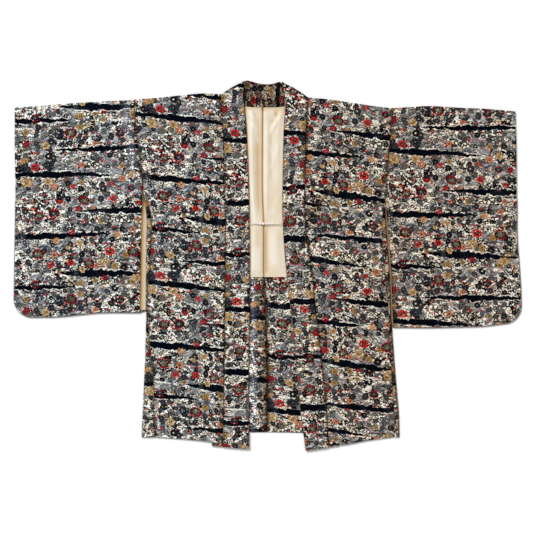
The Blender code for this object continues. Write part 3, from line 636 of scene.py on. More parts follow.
def make_body(side, look, material):
    """One length of cloth: the front from hem to shoulder, over the fold, and the back down to its hem."""
    sheet, step = ClothWall(), look.step / MM
    bolt = FRONT_BOLT[side]
    u, v = steps(FRONT_WIDE, step), steps(BODY_LONG, step)
    grid_u, grid_v = np.meshgrid(u, v)
    radius = (FRONT_TOP + COLLAR_LIFT * ease(grid_u * 2 - 1)) / 2
    y = between(across(SHOULDER[side], grid_u) - radius, across(FRONT_HEM[side], grid_u), grid_v)
    seam = collar_line(side, "seam", y) - inward(side) * COLLAR_GAP
    sewn = panel_side_x(side, y)
    x = between(sewn, seam, grid_u)
    edge = within(grid_v, 20) * ease(grid_u * 6 + 0.3) * ease((1 - grid_u) * 6)
    z = front_top_z(side, x, y, edge)
    from_side, from_collar = np.abs(x - sewn), np.abs(x - seam)
    inside = within(grid_v, 30) * ease(from_side / 8) * ease(from_collar / 8)
    crease = inside * ridge(x, y, FRONT_CREASES[side]) * look.crease
    z = z + crease + inside * uneven(x, y, 85, 1.3) * look.sway / MM
    beside = np.exp(-from_side / 16) + np.exp(-from_collar / 12)
    z = z + inside * beside * uneven(x, y, 13, 2.1) * look.pucker / MM * 2
    roll = rolled(from_side, 3.2, 0.8) + rolled(from_collar, 3.0, 0.5)
    roll = roll + rolled((1 - grid_v) * BODY_LONG, 2.4, 0.7)
    # Painted shade beside the collar and side seams and in the creases' dips, and painted highlights on
    # their crests.
    shade = seam_shade(from_collar, 3.6, 0.9) + seam_shade(from_side, 4, SIDE_SHADE[side])
    shade = shade + hollow_shade(crease)
    front = sheet.layer(x, y, z - roll, z - CLOTH, cloth_place(bolt, x, y, shade))

    centre_clear = inward(side) * SEAM_GAP
    neck_x = x_at(CENTRE, CENTRE[0].y) - centre_clear
    top_x = np.concatenate([x[0], np.linspace(x[0, -1] + inward(side) * NECK_CORNER, neck_x, NECK_POINTS)])
    top_y = np.concatenate([y[0], y_at(NECKLINE, top_x[len(u) :]) - 0.5])
    share = (top_x - top_x[0]) / (top_x[-1] - top_x[0])
    down = v[::3, None] if len(v) % 3 == 1 else np.append(v[::3], 1.0)[:, None]
    back_y = between(top_y, between(BACK_HEM_SIDE, BACK_HEM_CENTRE, share), down)
    middle = x_at(CENTRE, back_y) - centre_clear
    sewn = panel_side_x(side, back_y) + inward(side) * HIDDEN_SEAM_GAP * (back_y < GUSSET[side][1].y + 4)
    back_x = between(sewn, middle, share)
    back_x[0] = top_x
    back = sheet.layer(back_x, back_y, 0.0, CLOTH, cloth_place(bolt, back_x, 2 * top_y - back_y))

    fold = sheet.turn(front[0], back[0, : len(u)], np.array([0.0, 1.0]))
    sheet.cover(front, (0.004, 0.0, 0.37, 0.95), (0.895, 0.0, 0.94, 0.95))
    sheet.cover(fold[::-1], (0.004, 0.96, 0.37, 0.98), (0.895, 0.96, 0.94, 0.98))
    sheet.cover(back[::-1], (0.38, 0.0, 0.885, 0.95), (0.95, 0.0, 0.995, 0.95))
    name, rests_on = f"{side}_front_and_back", [f"lining_{side}_back"]
    return sheet.piece(name, f"body_{side}", material, "print", (0.30, 1.68), 0.41, rests_on)


def make_gusset(side, look, material):
    """The side strip, folded round the body's edge from the front's side seam to the back's."""
    sheet = ClothWall()
    y = between(SHOULDER[side][0].y - FRONT_TOP / 2, FRONT_HEM[side][0].y, steps(BODY_LONG, look.step / MM))
    y = y[int(np.argmax(y < GUSSET[side][1].y - SEAM_GAP)) :]
    edge = outline_x(side, y) + inward(side) * FRONT_TOP / 2
    seam = outline_x(side, y) + inward(side) * np.maximum(gusset_width(side, y), FRONT_TOP / 2 + 0.6)
    share = np.array([0.0, 0.3, 0.6, 0.85, 1.0])[:, None]
    x = between(edge, seam, share)
    width = np.abs(seam - edge)
    z = FRONT_TOP - rolled(np.abs(x - seam), 2.6, 0.7) * ease(width / 2)
    z = z + uneven(x, y, 30, 0.4) * 0.5 * ease(width / 6) * (1 - share)
    y = np.broadcast_to(y, x.shape)
    # Painted shade beside the seam and along the folded edge.
    shade = seam_shade(x - seam, 3.5, GUSSET_SHADE[side]) + seam_shade(x - edge, 2.5, EDGE_SHADE[side])
    left, start = GUSSET_PLACE
    upper = sheet.layer(x, y, z, FRONT_TOP - CLOTH, points(np.abs(x - edge) + left, start - y, shade))
    lower = sheet.layer(x, y, 0.0, CLOTH, points(GUSSET_UNDER - np.abs(x - edge), start - y, 0.0))
    fold = sheet.turn(upper[0], lower[0], np.array([-inward(side), 0.0]))
    sheet.cover(upper, (0.004, 0.0, 0.3, 0.98), (0.8, 0.0, 0.85, 0.98))
    sheet.cover(fold[::-1], (0.31, 0.0, 0.5, 0.98), (0.86, 0.0, 0.9, 0.98))
    sheet.cover(lower[::-1], (0.51, 0.0, 0.79, 0.98), (0.91, 0.0, 0.99, 0.98))
    name, area = f"{side}_side_gusset", {"right": 0.017, "left": 0.0106}[side]
    return sheet.piece(name, f"gusset_{side}", material, "print", (0.05, 0.6), area, ["floor"])


def sleeve_open_x(side, y, layer):
    """The sleeve's inner edge: the armhole seam above, and below it the open edge of a layer."""
    armhole = outline_x(side, y) - inward(side) * SEAM_GAP
    under_body = outline_x(side, y) - inward(side) * SIDE_GAP
    free = x_at(SLEEVE_OPEN[side], y)
    if layer == "back":
        bottom = SLEEVE_OPEN[side][-1].y
        free = under_body + (free - under_body) * ease(1 - (y - bottom) / OPEN_BLEND)
    return np.where(y > SLEEVE_OPEN[side][0].y, armhole, free)


def sleeve_cuff_x(side, y, bottom):
    """The cuff edge, straight down to the rounded lower corner."""
    drop = np.clip(bottom + CORNER_RADIUS - y, 0, CORNER_RADIUS)
    turn = CORNER_RADIUS - np.sqrt(CORNER_RADIUS**2 - drop**2)
    return x_at(SLEEVE_CUFF[side], y) + inward(side) * turn


def make_sleeve(side, look, material):
    """The sleeve: two layers joined over the shoulder, below the cuff and along the bottom."""
    sheet, step = ClothWall(), look.step / MM
    bolt = SLEEVE_BOLT[side]
    radius = FRONT_TOP / 2
    bottom = SLEEVE_BOTTOM[side][-1].y + radius
    u = steps(SLEEVE_WIDE, step)
    corner = CORNER_RADIUS / SLEEVE_DEEP
    straight = steps(CUFF_LONG, step)
    straight = straight[straight <= 1 - EDGE_STEPS[-1] / CUFF_LONG]
    turn = 1 - corner * (1 - np.sin(np.radians(np.linspace(0, 90, CORNER_STEPS)[1:])))
    v = np.concatenate([straight * (1 - corner) / straight[-1], turn])
    grid_u, grid_v = np.meshgrid(u, v)
    top = across(SLEEVE_TOP[side], grid_u) - radius
    y = between(top, across(SLEEVE_BOTTOM[side], grid_u) + radius, grid_v)
    cuff = sleeve_cuff_x(side, y, bottom) + inward(side) * radius
    edge = within(grid_v, 20, 12) * ease(grid_u * 20 + 0.2) * ease((1 - grid_u) * 12)
    opening = sleeve_open_x(side, y, "front")
    x = between(opening, cuff, grid_u)
    puff = SLEEVE_PUFF * np.sqrt(np.abs(16 * grid_u * (1 - grid_u) * grid_v * (1 - grid_v)))
    z = FRONT_TOP + (puff + ridge(x, y, SLEEVE_FOLDS[side])) * edge
    from_seam, from_cuff = np.abs(x - opening), 1 - grid_u
    inside = within(grid_v, 30) * ease(from_seam / 6) * ease(from_cuff * 30)
    crease = inside * ridge(x, y, SLEEVE_CREASES[side]) * look.crease
    z = z + crease + inside * uneven(x, y, 95, 4.2) * look.sway / MM
    sewn = ease((y - SLEEVE_OPEN[side][0].y + 20) / 40)
    ripple = uneven(x * 0.4, y, 11, 5.5) * np.exp(-from_seam / 14) * sewn
    near_cuff = uneven(x * 0.4, y, 17, 3.5) * np.exp(-from_cuff * SLEEVE_WIDE / 14) * ease(from_cuff * 40)
    z = z + (inside * ripple * 2.6 + near_cuff * inside) * look.pucker / MM
    # Painted shade along the armhole and in the creases' dips, painted highlights on their crests, and on
    # the right sleeve a painted highlight along the ridge beside the armhole.
    shade = seam_shade(from_seam, 5, ARMHOLE_SHADE[side]) * (sewn if side == "right" else 1.0)
    shade = shade + hollow_shade(crease)
    if side == "right":
        shade = shade - seam_shade(from_seam - 18, 9, 0.9) * sewn
    roll = rolled(from_seam, 3.0, 0.8)
    front = sheet.layer(x, y, z - roll, z - CLOTH, cloth_place(bolt, x, y, shade))

    x = between(sleeve_open_x(side, y, "back"), cuff, grid_u)
    back = sheet.layer(x, y, 0.0, CLOTH, cloth_place(bolt, x, 2 * top - y))

    stop = int(np.argmin(np.abs(y[:, -1] - CUFF_STOP_Y)))
    upper = np.concatenate([front[stop:, -1], front[-1, -2::-1]])
    lower = np.concatenate([back[stop:, -1], back[-1, -2::-1]])
    path = sheet.all_points()[0][upper][:, :2]
    tangent = np.gradient(path, axis=0)
    outward = np.stack([-tangent[:, 1], tangent[:, 0]], axis=1) * inward(side)
    outward /= -np.linalg.norm(outward, axis=1, keepdims=True)

    sheet.cover(front, (0.004, 0.03, 0.44, 0.97), (0.91, 0.03, 0.95, 0.97))
    sheet.cover(back[::-1], (0.45, 0.03, 0.9, 0.97), (0.955, 0.03, 0.995, 0.97))
    fold = sheet.turn(front[0], back[0], np.array([0.0, 1.0]))
    sheet.cover(fold[::-1], (0.004, 0.972, 0.44, 0.985), (0.91, 0.972, 0.95, 0.985))
    sheet.cover(sheet.turn(upper, lower, outward).T, (0.45, 0.003, 0.9, 0.027), (0.91, 0.003, 0.95, 0.027))
    return sheet.piece(f"{side}_sleeve", f"sleeve_{side}", material, "print", (0.35, 1.04), 0.325, ["floor"])


def collar_place(side, x, y, shade=0.0):
    """The collar's strip runs up one front, behind the neck and down the other, where it is upside down."""
    from_seam = (x - collar_line(side, "seam", y)) * inward(side)
    along = (COLLAR_START[side] - y) * inward(side) / COLLAR_STRETCH
    return points(COLLAR_EDGE + from_seam, along, shade)


def make_collar(side, look, material):
    """The collar band on one front: under layer, crease, upper layer, and its turn over the shoulder."""
    sheet, step = ClothWall(), look.step / MM
    crease_radius = (COLLAR_TOP - COLLAR_BASE) / 2
    over_radius = COLLAR_TOP / 2
    v = steps(COLLAR_LONG, step)
    slope, hem = COLLAR_SLOPE[side], COLLAR_HEM[side]

    def run(share, under, inset):
        """Points along the band at shares of its width from seam to crease, or at its hidden edge."""
        start = between(slope[0].y, slope[1].y, share) - inset
        x_hem = between(between(collar_line(side, "seam", COLLAR_END_Y), hem[1].x, share), hem[0].x, under)
        end = hem[0].y + (hem[1].y - hem[0].y) * (x_hem - hem[0].x) / (hem[1].x - hem[0].x)
        y = between(start, end, v)
        seam = collar_line(side, "seam", y)
        crease = collar_line(side, "crease", y) - inward(side) * crease_radius
        tucked = seam - inward(side) * collar_line(side, "under", y)
        return between(between(seam, crease, share), tucked, under), y

    under = np.array([1.0, 0.5, 0.0, 0.0, 0.0])[:, None]
    share = np.array([0.0, 0.0, 0.0, 0.5, 1.0])[:, None]
    x, y = run(share, under, over_radius + 1.0)
    # The hidden under layer gets painted shade of half depth.
    place = collar_place(side, x, y, 0.5) + [COLLAR_INSIDE, 0.0, 0.0]
    low = sheet.layer(x, y, COLLAR_BASE, COLLAR_BASE + COLLAR_UNDER, place)
    share = steps(COLLAR_WIDE, step * FINER_GRID)[::-1, None]
    x, y = run(share, 0.0, over_radius)
    from_seam, from_crease = share * COLLAR_WIDE, COLLAR_WIDE - share * COLLAR_WIDE
    ends = within(v, 14)
    swell = 0.55 * np.sqrt(np.clip(4 * share * (1 - share), 0, 1)) * ends
    soft = uneven(x, y, 46, 0.7) * 0.9 + ridge(x, y, FRONT_CREASES[side]) * 0.3
    ripple = uneven(x * 0.5, y, 12, 1.1) * np.exp(-from_seam / 9) * look.pucker / MM * 1.4
    lift = swell + (soft + ripple) * ends * ease(from_seam / 5) * ease(from_crease / 6)
    z = COLLAR_TOP + lift - rolled(from_seam, 3.4, 1.2) - rolled((1 - v) * COLLAR_LONG, 2.4, 0.7)
    # Painted shade beside the seam and along the crease.
    shade = seam_shade(from_seam, 2.4, COLLAR_SHADE[side]) + seam_shade(from_crease, 2.0, 0.3) + 0 * y
    high = sheet.layer(x, y, z, COLLAR_TOP - COLLAR_OVER, collar_place(side, x, y, shade))
    crease = sheet.turn(high[0], low[-1], np.array([inward(side), 0.0]))

    top, top_inner, bolt = (places[high[:, 0]] for places in sheet.all_points())
    angle = np.radians(np.arange(72, -91, -18))[:, None]
    outer, inner, place = (np.repeat(places[None], len(angle), axis=0) for places in (top, top_inner, bolt))
    outer[..., 1] += over_radius * np.cos(angle)
    outer[..., 2] = top[:, 2] / 2 * (1 + np.sin(angle))
    inner[..., 1] += (over_radius - COLLAR_OVER) * np.cos(angle)
    inner[..., 2] = over_radius + (over_radius - COLLAR_OVER) * np.sin(angle)
    place[..., 1] -= inward(side) * (90 - np.degrees(angle)) * 0.05
    turned = np.concatenate([high[:, 0][None], sheet.add(outer, inner, place)])

    sheet.cover(low.T, (0.46, 0.0, 0.7, 0.95), (0.9, 0.0, 0.94, 0.95))
    sheet.cover(crease.T[:, ::-1], (0.38, 0.0, 0.45, 0.95), (0.86, 0.0, 0.89, 0.95))
    sheet.cover(high.T, (0.004, 0.0, 0.37, 0.95), (0.95, 0.0, 0.99, 0.95))
    sheet.cover(turned.T, (0.71, 0.0, 0.85, 0.2), (0.71, 0.25, 0.85, 0.3))
    name, rests_on = f"{side}_collar", [f"{side}_front_and_back"]
    return sheet.piece(name, f"collar_{side}", material, "print", (0.16, 0.92), 0.13, rests_on)


def make_neck(material):
    """The collar behind the neck: inner layer on top, crease at the far edge, outer layer underneath."""
    sheet = ClothWall()
    x = np.linspace(NECK[0].x, NECK[-1].x, NECK_GRID[1])
    crease = through(NECK, "x", "crease", x)
    seam = y_at(NECKLINE, x)
    share = np.linspace(0, 1, NECK_GRID[0])[:, None]
    far = (crease - LINING_TOP / 2) * share
    y = (seam - NECK_LAP) * (1 - share) + far
    z = LINING_TOP + within(share, 5) * uneven(x, y, 24, 2.2) * 0.8
    # Painted shade over the whole inner face behind the neck, deeper towards the crease and at two corners.
    corner = seam_shade(x - NECK[3].x, 14, 0.3) + seam_shade(x - NECK[9].x, 12, 0.2)
    place = points(NECK_EDGE + share * 50, NECK_START - 1.1 * x, 0.52 + 0.1 * share + corner)
    upper = sheet.layer(x, y, z, LINING_UNDER, place)
    y = (seam + SEAM_GAP) * (1 - share) + far
    place = points(COLLAR_EDGE + share * COLLAR_WIDE, NECK_START - 1.1 * x, 0.0)
    lower = sheet.layer(x, y, 0.0, CLOTH, place)
    fold = sheet.turn(upper[-1], lower[-1], np.array([0.0, 1.0]))
    sheet.cover(upper, (0.004, 0.0, 0.98, 0.4), (0.004, 0.9, 0.98, 0.93))
    sheet.cover(fold, (0.004, 0.42, 0.98, 0.48), (0.004, 0.94, 0.98, 0.96))
    sheet.cover(lower[::-1], (0.004, 0.5, 0.98, 0.88), (0.004, 0.965, 0.98, 0.98))
    return sheet.piece("neck_collar", "collar_neck", material, "print", (0.13, 0.19), 0.021, ["floor"])


def make_inner_back(name, node, side, top, bottom, roll, creases, bolt, look, material, slot, flat, area):
    """A half of what shows inside the back, from under the collar to the centre seam, with its rolls."""
    sheet, step = ClothWall(), look.step / MM
    down = steps(top - bottom, step)[:, None]
    shares = steps(INNER_WIDE, step * FINER_GRID)
    y = between(top, bottom, down)
    crease_x = collar_line(side, "crease", y)
    middle = x_at(CENTRE, y) - inward(side) * GAP / 2
    hidden = crease_x - inward(side) * UNDER_COLLAR * np.linspace(1, 0, 6)[None, :-1]
    x = np.concatenate([hidden, between(crease_x, middle, shares)], axis=1)
    y = np.repeat(y, x.shape[1], axis=1)
    if top > LINING_END_Y:
        neckline = y_at(NECKLINE, x[0]) - NECK_LAP - 2 * SEAM_GAP
        neckline[:5] = neckline[5]
        y = bottom + (y - bottom) * (neckline - bottom) / (top - bottom)
    shown = np.abs(x - middle) <= np.abs(crease_x - middle)
    clear = ease(np.abs(x - crease_x) / 12) * shown
    ends = ease((top - y) / 20) * ease((y - bottom) / 20)
    fine = ease(np.abs(x - middle) / 5) * clear * ends
    crease = ridge(x, y, creases) * look.crease * fine
    swell = ridge(x, y, roll) * clear * ends + crease + uneven(x, y, 52, 3.7) * 0.5 * fine
    z = LINING_TOP + swell - rolled(np.abs(x - middle), 3.0, 0.55)
    # Painted shade beside the centre seam and the collar's edge, in the creases' dips and below the top
    # edge, painted highlights on the crests, and on the turn-up deeper painted shade beside the centre seam
    # and a painted highlight along its roll.
    shade = seam_shade(x - middle, *CENTRE_SHADE[side]) + seam_shade(x - crease_x, *OPENING_SHADE[side])
    if top < 0:
        shade = shade + seam_shade(x - middle, *TURN_UP_SHADE[side]) - seam_shade(x - ROLL_CREST, 8, 0.85)
    shade = shade + hollow_shade(crease) * 1.1 + seam_shade(top - y, 7, 0.25)
    grid = sheet.layer(x, y, z, LINING_UNDER + swell, cloth_place(bolt, x, y, shade))
    sheet.cover(grid, (0.004, 0.0, 0.8, 0.98), (0.82, 0.0, 0.99, 0.98))
    return sheet.piece(name, node, material, slot, flat, area, [f"{side}_front_and_back"])


def make_sleeve_lining(side, look, material):
    """The lining of the sleeve's back layer where it shows along the open inner edge."""
    sheet = ClothWall()
    top = SLEEVE_OPEN[side][0].y - 1.0
    bottom = SLEEVE_OPEN[side][-1].y + OPEN_BLEND + 4.0
    down = steps(top - bottom, look.step / MM)[:, None]
    y = between(top, bottom, down)
    edge = outline_x(side, y) - inward(side) * (SIDE_GAP + 0.2)
    share = steps(LINING_STRIP, 3.0)
    x = edge - inward(side) * LINING_STRIP * share
    y = np.repeat(y, x.shape[1], axis=1)
    z = LINING_TOP - rolled(share * LINING_STRIP, 2.0, 0.6) + 0 * x
    free = x_at(SLEEVE_OPEN[side], y)
    # Painted shadow under the sleeve's free edge and down from the top of the slit, and a little painted
    # shade all over.
    shade = 0.12 + seam_shade(x - free, 8, 0.7) + seam_shade(top - y, 30, 0.7)
    place = points(x + LINING_PLACE[0], y + LINING_PLACE[1], shade)
    grid = sheet.layer(x, y, z, LINING_UNDER, place)
    sheet.cover(grid, (0.004, 0.0, 0.8, 0.98), (0.82, 0.0, 0.99, 0.98))
    name, rests_on = f"lining_{side}_sleeve", [f"{side}_sleeve"]
    return sheet.piece(name, f"sleeve_lining_{side}", material, "lining", (0.031, 0.31), 0.0088, rests_on)


def rounded(rows, around, centre, radius, squash=1.0):
    """A ball's points about a line along X: rings at even angles, closed by small rings at its poles."""
    lean = np.linspace(POLE_RING, np.pi - POLE_RING, rows)[:, None]
    turn = np.arange(around) * 2 * np.pi / around
    x = centre[0] - radius * squash * np.cos(lean) + 0 * turn
    girth = radius * np.sin(lean)
    return points(x, centre[1] + girth * np.cos(turn), centre[2] + girth * np.sin(turn))


def wrapped_grid(rings, first=0, closed=False):
    """Faces round a tube of rings, and from its last ring back to its first if it is closed."""
    number = np.arange(rings.shape[0] * rings.shape[1]).reshape(rings.shape[:2]) + first
    if closed:
        number = np.concatenate([number, number[:1]])
    return cells(np.concatenate([number, number[:, :1]], axis=1))


class Look:
    """The node tree of one material, with one method that adds any node and gives back an output."""

    def __init__(self, name):
        self.material = bpy.data.materials.new(name)
        self.material.use_nodes = True
        self.tree = self.material.node_tree
        self.shader = self.tree.nodes["Principled BSDF"]

    def add(self, kind, settings, sockets, output=0):
        """A node of a type: its settings first, then the values or links of its sockets."""
        node = self.tree.nodes.new("ShaderNode" + kind)
        for name, value in settings.items():
            setattr(node, name, value)
        for name, value in sockets.items():
            self.feed(node.inputs[name], value)
        return Shade(self, node.outputs[output])

    def feed(self, socket, value):
        """Links a node's output to a socket, or sets the socket's own number, vector or colour."""
        if isinstance(value, Shade):
            self.tree.links.new(value.socket, socket)
        else:
            socket.default_value = rgba(value) if socket.type == "RGBA" else value

    def surface(self, sockets):
        """Feeds the sockets of the surface, and gives back the finished material."""
        for name, value in sockets.items():
            self.feed(self.shader.inputs[name], value)
        return self.material

    def maths(self, operation, *values):
        """A number from one Math node."""
        return self.add("Math", {"operation": operation}, dict(enumerate(values)))

    def vector(self, operation, *values, output=0):
        """A vector from one Vector Math node, or its length."""
        return self.add("VectorMath", {"operation": operation}, dict(enumerate(values)), output)

    def step(self, value, low, high):
        """0 below low and 1 above high, smooth between them; the other way round if low is the higher."""
        settings = {"interpolation_type": "SMOOTHSTEP"}
        return self.add("MapRange", settings, {"Value": value, "From Min": low, "From Max": high}, "Result")

    def mix(self, mask, under, over):
        """The under colour where the mask is 0 and the over colour where it is 1."""
        return self.add("Mix", {"data_type": "RGBA"}, {0: mask, 6: under, 7: over}, 2)

    def stretched(self, place, across, along):
        """The place with its two directions scaled apart."""
        return self.vector("MULTIPLY", place, (across, along, 0.0))

    def rings(self, share, colour, *stops):
        """The colour with others over it, each from nothing at its first share to all at its second."""
        for low, high, over in stops:
            colour = self.mix(self.step(share, low, high), colour, over)
        return colour

    def noise(self, place, scale, detail=2.0, distortion=0.0, output="Fac"):
        """Soft noise of so many lumps to a millimetre."""
        sockets = {"Vector": place, "Scale": scale, "Detail": detail, "Distortion": distortion}
        return self.add("TexNoise", {}, sockets, output)

    def cracks(self, place, scale, feature, output, randomness=1.0):
        """Cells of chance round scattered points: their edges, distances or colours."""
        settings = {"feature": feature, "voronoi_dimensions": "2D"}
        sockets = {"Vector": place, "Scale": scale, "Randomness": randomness}
        return self.add("TexVoronoi", settings, sockets, output)

    def split(self, value):
        """The three parts of a vector or colour."""
        node = self.add("SeparateXYZ", {}, {0: value}).socket.node
        return [Shade(self, out) for out in node.outputs]

    def ramp(self, value, *stops):
        """Flat colours, each from its place up to the next one's."""
        shade = self.add("ValToRGB", {}, {0: value})
        ramp = shade.socket.node.color_ramp
        ramp.interpolation = "CONSTANT"
        for index, (place, colour) in enumerate(stops):
            element = ramp.elements[index] if index < 2 else ramp.elements.new(place)
            element.position = place
            element.color = rgba(colour)
        return shade

    def shade(self):
        """How shaded the cloth is: below 0 where a crest catches the light."""
        return self.add("Attribute", {"attribute_name": "Shade"}, {}, "Fac")

    def cloth_place(self):
        """The place on the cloth laid flat, in millimetres."""
        place = self.add("UVMap", {"uv_map": "Cloth"}, {})
        return self.add("VectorMath", {"operation": "SCALE"}, {0: place, "Scale": 1 / MM})


def arithmetic(operation, swapped=False):
    """An operator that adds its Math node, with the other value first if swapped."""

    def apply(shade, other):
        return shade.look.maths(operation, *((other, shade) if swapped else (shade, other)))

    return apply


class Shade:
    """A node's output in shader arithmetic: each operator adds its Math node."""

    def __init__(self, look, socket):
        self.look, self.socket = look, socket

    __add__ = __radd__ = arithmetic("ADD")
    __sub__ = arithmetic("SUBTRACT")
    __rsub__ = arithmetic("SUBTRACT", swapped=True)
    __mul__ = __rmul__ = arithmetic("MULTIPLY")
    __truediv__ = arithmetic("DIVIDE")
    __pow__ = arithmetic("POWER")
    __lt__ = arithmetic("LESS_THAN")
    __gt__ = arithmetic("GREATER_THAN")
    __and__ = arithmetic("MINIMUM")
    __or__ = arithmetic("MAXIMUM")

    def __abs__(self):
        return self.look.maths("ABSOLUTE", self)


def wrapped_along(look, place, repeats):
    """The place wrapped round after so many units along the bolt, and left as it is across."""
    return look.vector("WRAP", place, (9999.0, float(repeats), 9.0), (-9999.0, 0.0, -9.0))


def flower_bed(look, place, size, shift, loose, seed):
    """Cells that repeat along the bolt: the place from each motif's own centre, and three chances."""
    wide, deep = size
    at = look.vector("MULTIPLY_ADD", place, (1 / wide, 1 / deep, 0.0), (*shift, 0.0))
    cell = wrapped_along(look, look.vector("FLOOR", at), round(REPEAT / deep))
    chance = look.add("TexWhiteNoise", {"noise_dimensions": "4D"}, {"Vector": cell, "W": seed}, "Color")
    local = look.vector("MULTIPLY_ADD", chance, (-loose, -loose, 0.0), look.vector("FRACTION", at))
    middle = (loose - 1) / 2
    local = look.vector("MULTIPLY_ADD", local, (wide, deep, 0.0), (middle * wide, middle * deep, 0.0))
    return local, look.split(chance)


def petals(look, angle, count, turn):
    """A wave round a flower, 1 at the middle of each petal and -1 between two."""
    return look.maths("COSINE", angle * float(count) + turn)


def scattered_flowers(look, place, size, shift, seed, loose, count, least, spread, depth):
    """Flowers turned and sized by chance: the share of their radius, their petals and their chances."""
    local, chance = flower_bed(look, place, (size, size), shift, loose, seed)
    x, y, _ = look.split(local)
    wave = petals(look, look.maths("ARCTAN2", y, x), count, chance[2] * 6.3)
    radius = (chance[1] * spread + least) * (1 + wave * depth)
    return look.vector("LENGTH", local, output="Value") / radius, wave, chance


def brushed_leaves(look, colour, place, size, shift, seed, leaf, turn, fill, stops):
    """Short pointed strokes, one to a cell, each leaning its own way, over the colour underneath."""
    local, chance = flower_bed(look, place, size, shift, 0.3, seed)
    lean = (chance[2] - 0.5) * turn
    leaning = look.add("VectorRotate", {"rotation_type": "Z_AXIS"}, {"Vector": local, "Angle": lean})
    x, y, _ = look.split(look.stretched(leaning, 1 / leaf[0], 1 / leaf[1]))
    point = abs(x) ** 1.5 + abs(y + x * x * 0.35)
    return look.mix(look.step(point, 1.06, 0.86) * (chance[1] < fill), colour, look.ramp(chance[0], *stops))


def fitted_leaves(look, colour, ink, drawn, scale, line, keep, stops):
    """Leaves fitted edge to edge with ink between them, over a share of the colour underneath."""
    edge = look.cracks(drawn, scale, "DISTANCE_TO_EDGE", "Distance")
    chance = look.split(look.cracks(drawn, scale, "F1", "Color"))
    leaf = look.mix(look.step(edge, line, line * 0.3), look.ramp(chance[0], *stops), ink)
    return look.mix(chance[1] < keep, colour, leaf)


def dots(look, place, scale, radius, fill, clear, stops):
    """Round dots: a mask of the share that is printed, and each dot's own colour."""
    near = look.cracks(place, scale, "F1", "Distance", 0.9)
    chance = look.split(look.cracks(place, scale, "F1", "Color", 0.9))
    mask = look.step(near, radius + 0.08, radius) * (chance[2] < fill) * clear
    return mask, look.ramp(chance[0], *stops)


def charted_blooms(look, place):
    """The nearest bloom of the chart: the place from its centre in its own radii, and its kind."""
    near, best = None, None
    for bloom in BLOOMS:
        for along in (bloom.along, bloom.along - REPEAT)[: 2 if bloom.along + bloom.radius > REPEAT else 1]:
            size = 1.0 / bloom.radius
            middle = (-bloom.across * size, -along * size * BLOOM_SQUAT, bloom.kind * 0.02)
            local = look.vector("MULTIPLY_ADD", place, (size, size * BLOOM_SQUAT, 0.0), middle)
            reach = look.vector("LENGTH", local, output="Value")
            if near is None:
                near, best = local, reach
            else:
                settings = {"data_type": "VECTOR", "factor_mode": "UNIFORM"}
                near = look.add("Mix", settings, {0: reach < best, 4: near, 5: local}, 1)
                best = best & reach
    return near


def mist_mask(look, across_bolt, along_bolt, wave):
    """The bands of mist: half as thick as the bar at its peak, thinning to its two ends, wavy and ragged."""
    mask = None
    for bar in MIST:
        rise = look.add("MapRange", {}, {"Value": across_bolt, "From Min": bar.start, "From Max": bar.peak})
        fall = look.add("MapRange", {}, {"Value": across_bolt, "From Min": bar.end, "From Max": bar.peak})
        half = (rise & fall) ** 0.62 * (bar.thickness / 2)
        inside = half * wave - abs(along_bolt - bar.along + across_bolt * -bar.tilt)
        mask = inside if mask is None else mask | inside
    return mask


def shaded(look, colour, warmth, deep, depth):
    """The colour, warmer and then deeper where the cloth is shaded, and lit where the shade is below 0."""
    shade = look.shade()
    lit = look.vector("MULTIPLY_ADD", colour, (1.1, 1.16, 1.24), (0.045, 0.05, 0.062))
    warm = look.vector("MULTIPLY", colour, warmth)
    colour = look.mix(shade * -1.0, look.mix(shade * 2.0, colour, warm), lit)
    return look.mix(shade * depth, colour, deep)


def bolt_ground(look, paint, flat, bleed, patchy):
    """The cloth under the flowers: fitted leaves, grey smoke over them, and strands along the flow."""
    ink, ground = paint.ink, paint.ground
    flow = look.noise(flat, 0.02, 1.0, output="Color")
    swirl = look.vector("MULTIPLY_ADD", flow, (70.0, 70.0, 0.0), flat)
    bled = look.vector("MULTIPLY_ADD", bleed, (5.0, 3.0, 0.0), swirl)
    colour = ink
    for stretch, scale, line, keep, stops in (
        (0.2, 0.2, 0.14, 1.0, (
            (0.0, ground), (0.27, (120, 114, 106)), (0.4, (44, 44, 47)), (0.53, (206, 182, 144)),
            (0.66, (84, 82, 82)), (0.8, (14, 14, 17)), (0.91, (178, 146, 104)),
        )),
        (0.3, 0.3, 0.16, 0.62, (
            (0.0, (248, 243, 232)), (0.38, (12, 12, 15)), (0.6, (214, 198, 170)), (0.8, (96, 92, 90)),
            (0.95, (196, 132, 110)),
        )),
    ):
        drawn = look.stretched(bled, stretch, 1.0)
        colour = fitted_leaves(look, colour, ink, drawn, scale, line, keep, stops)

    # Grey smoke over the leaves, drawn out in soft lines.
    drift = look.noise(look.stretched(swirl, 0.6, 1.0), 0.022, 1.0)
    lines = look.noise(look.stretched(swirl, 0.17, 1.0), 0.24, 2.0, 0.5)
    smoke = look.mix(look.step(lines, 0.36, 0.6), (44, 46, 52), (124, 126, 132))
    smoke = look.mix(look.step(lines, 0.6, 0.66) * 0.7, smoke, ground)
    smoky = look.step(drift, 0.495, 0.545)
    colour = look.mix(smoky * 0.9, colour, smoke)

    # Thin strands of ink along the flow, and between them strands of bare silk.
    strand = look.noise(look.stretched(swirl, 0.2, 1.0), 0.2, 1.0, 0.6)
    inked = look.step(abs(strand - 0.56), 0.024, 0.012)
    bare = look.step(abs(strand - 0.44), 0.022, 0.01)
    colour = look.mix(inked, look.mix(bare * 0.65, colour, (246, 241, 230)), ink)
    clear = smoky * look.step(patchy, 0.62, 0.52)
    return colour, lines, clear


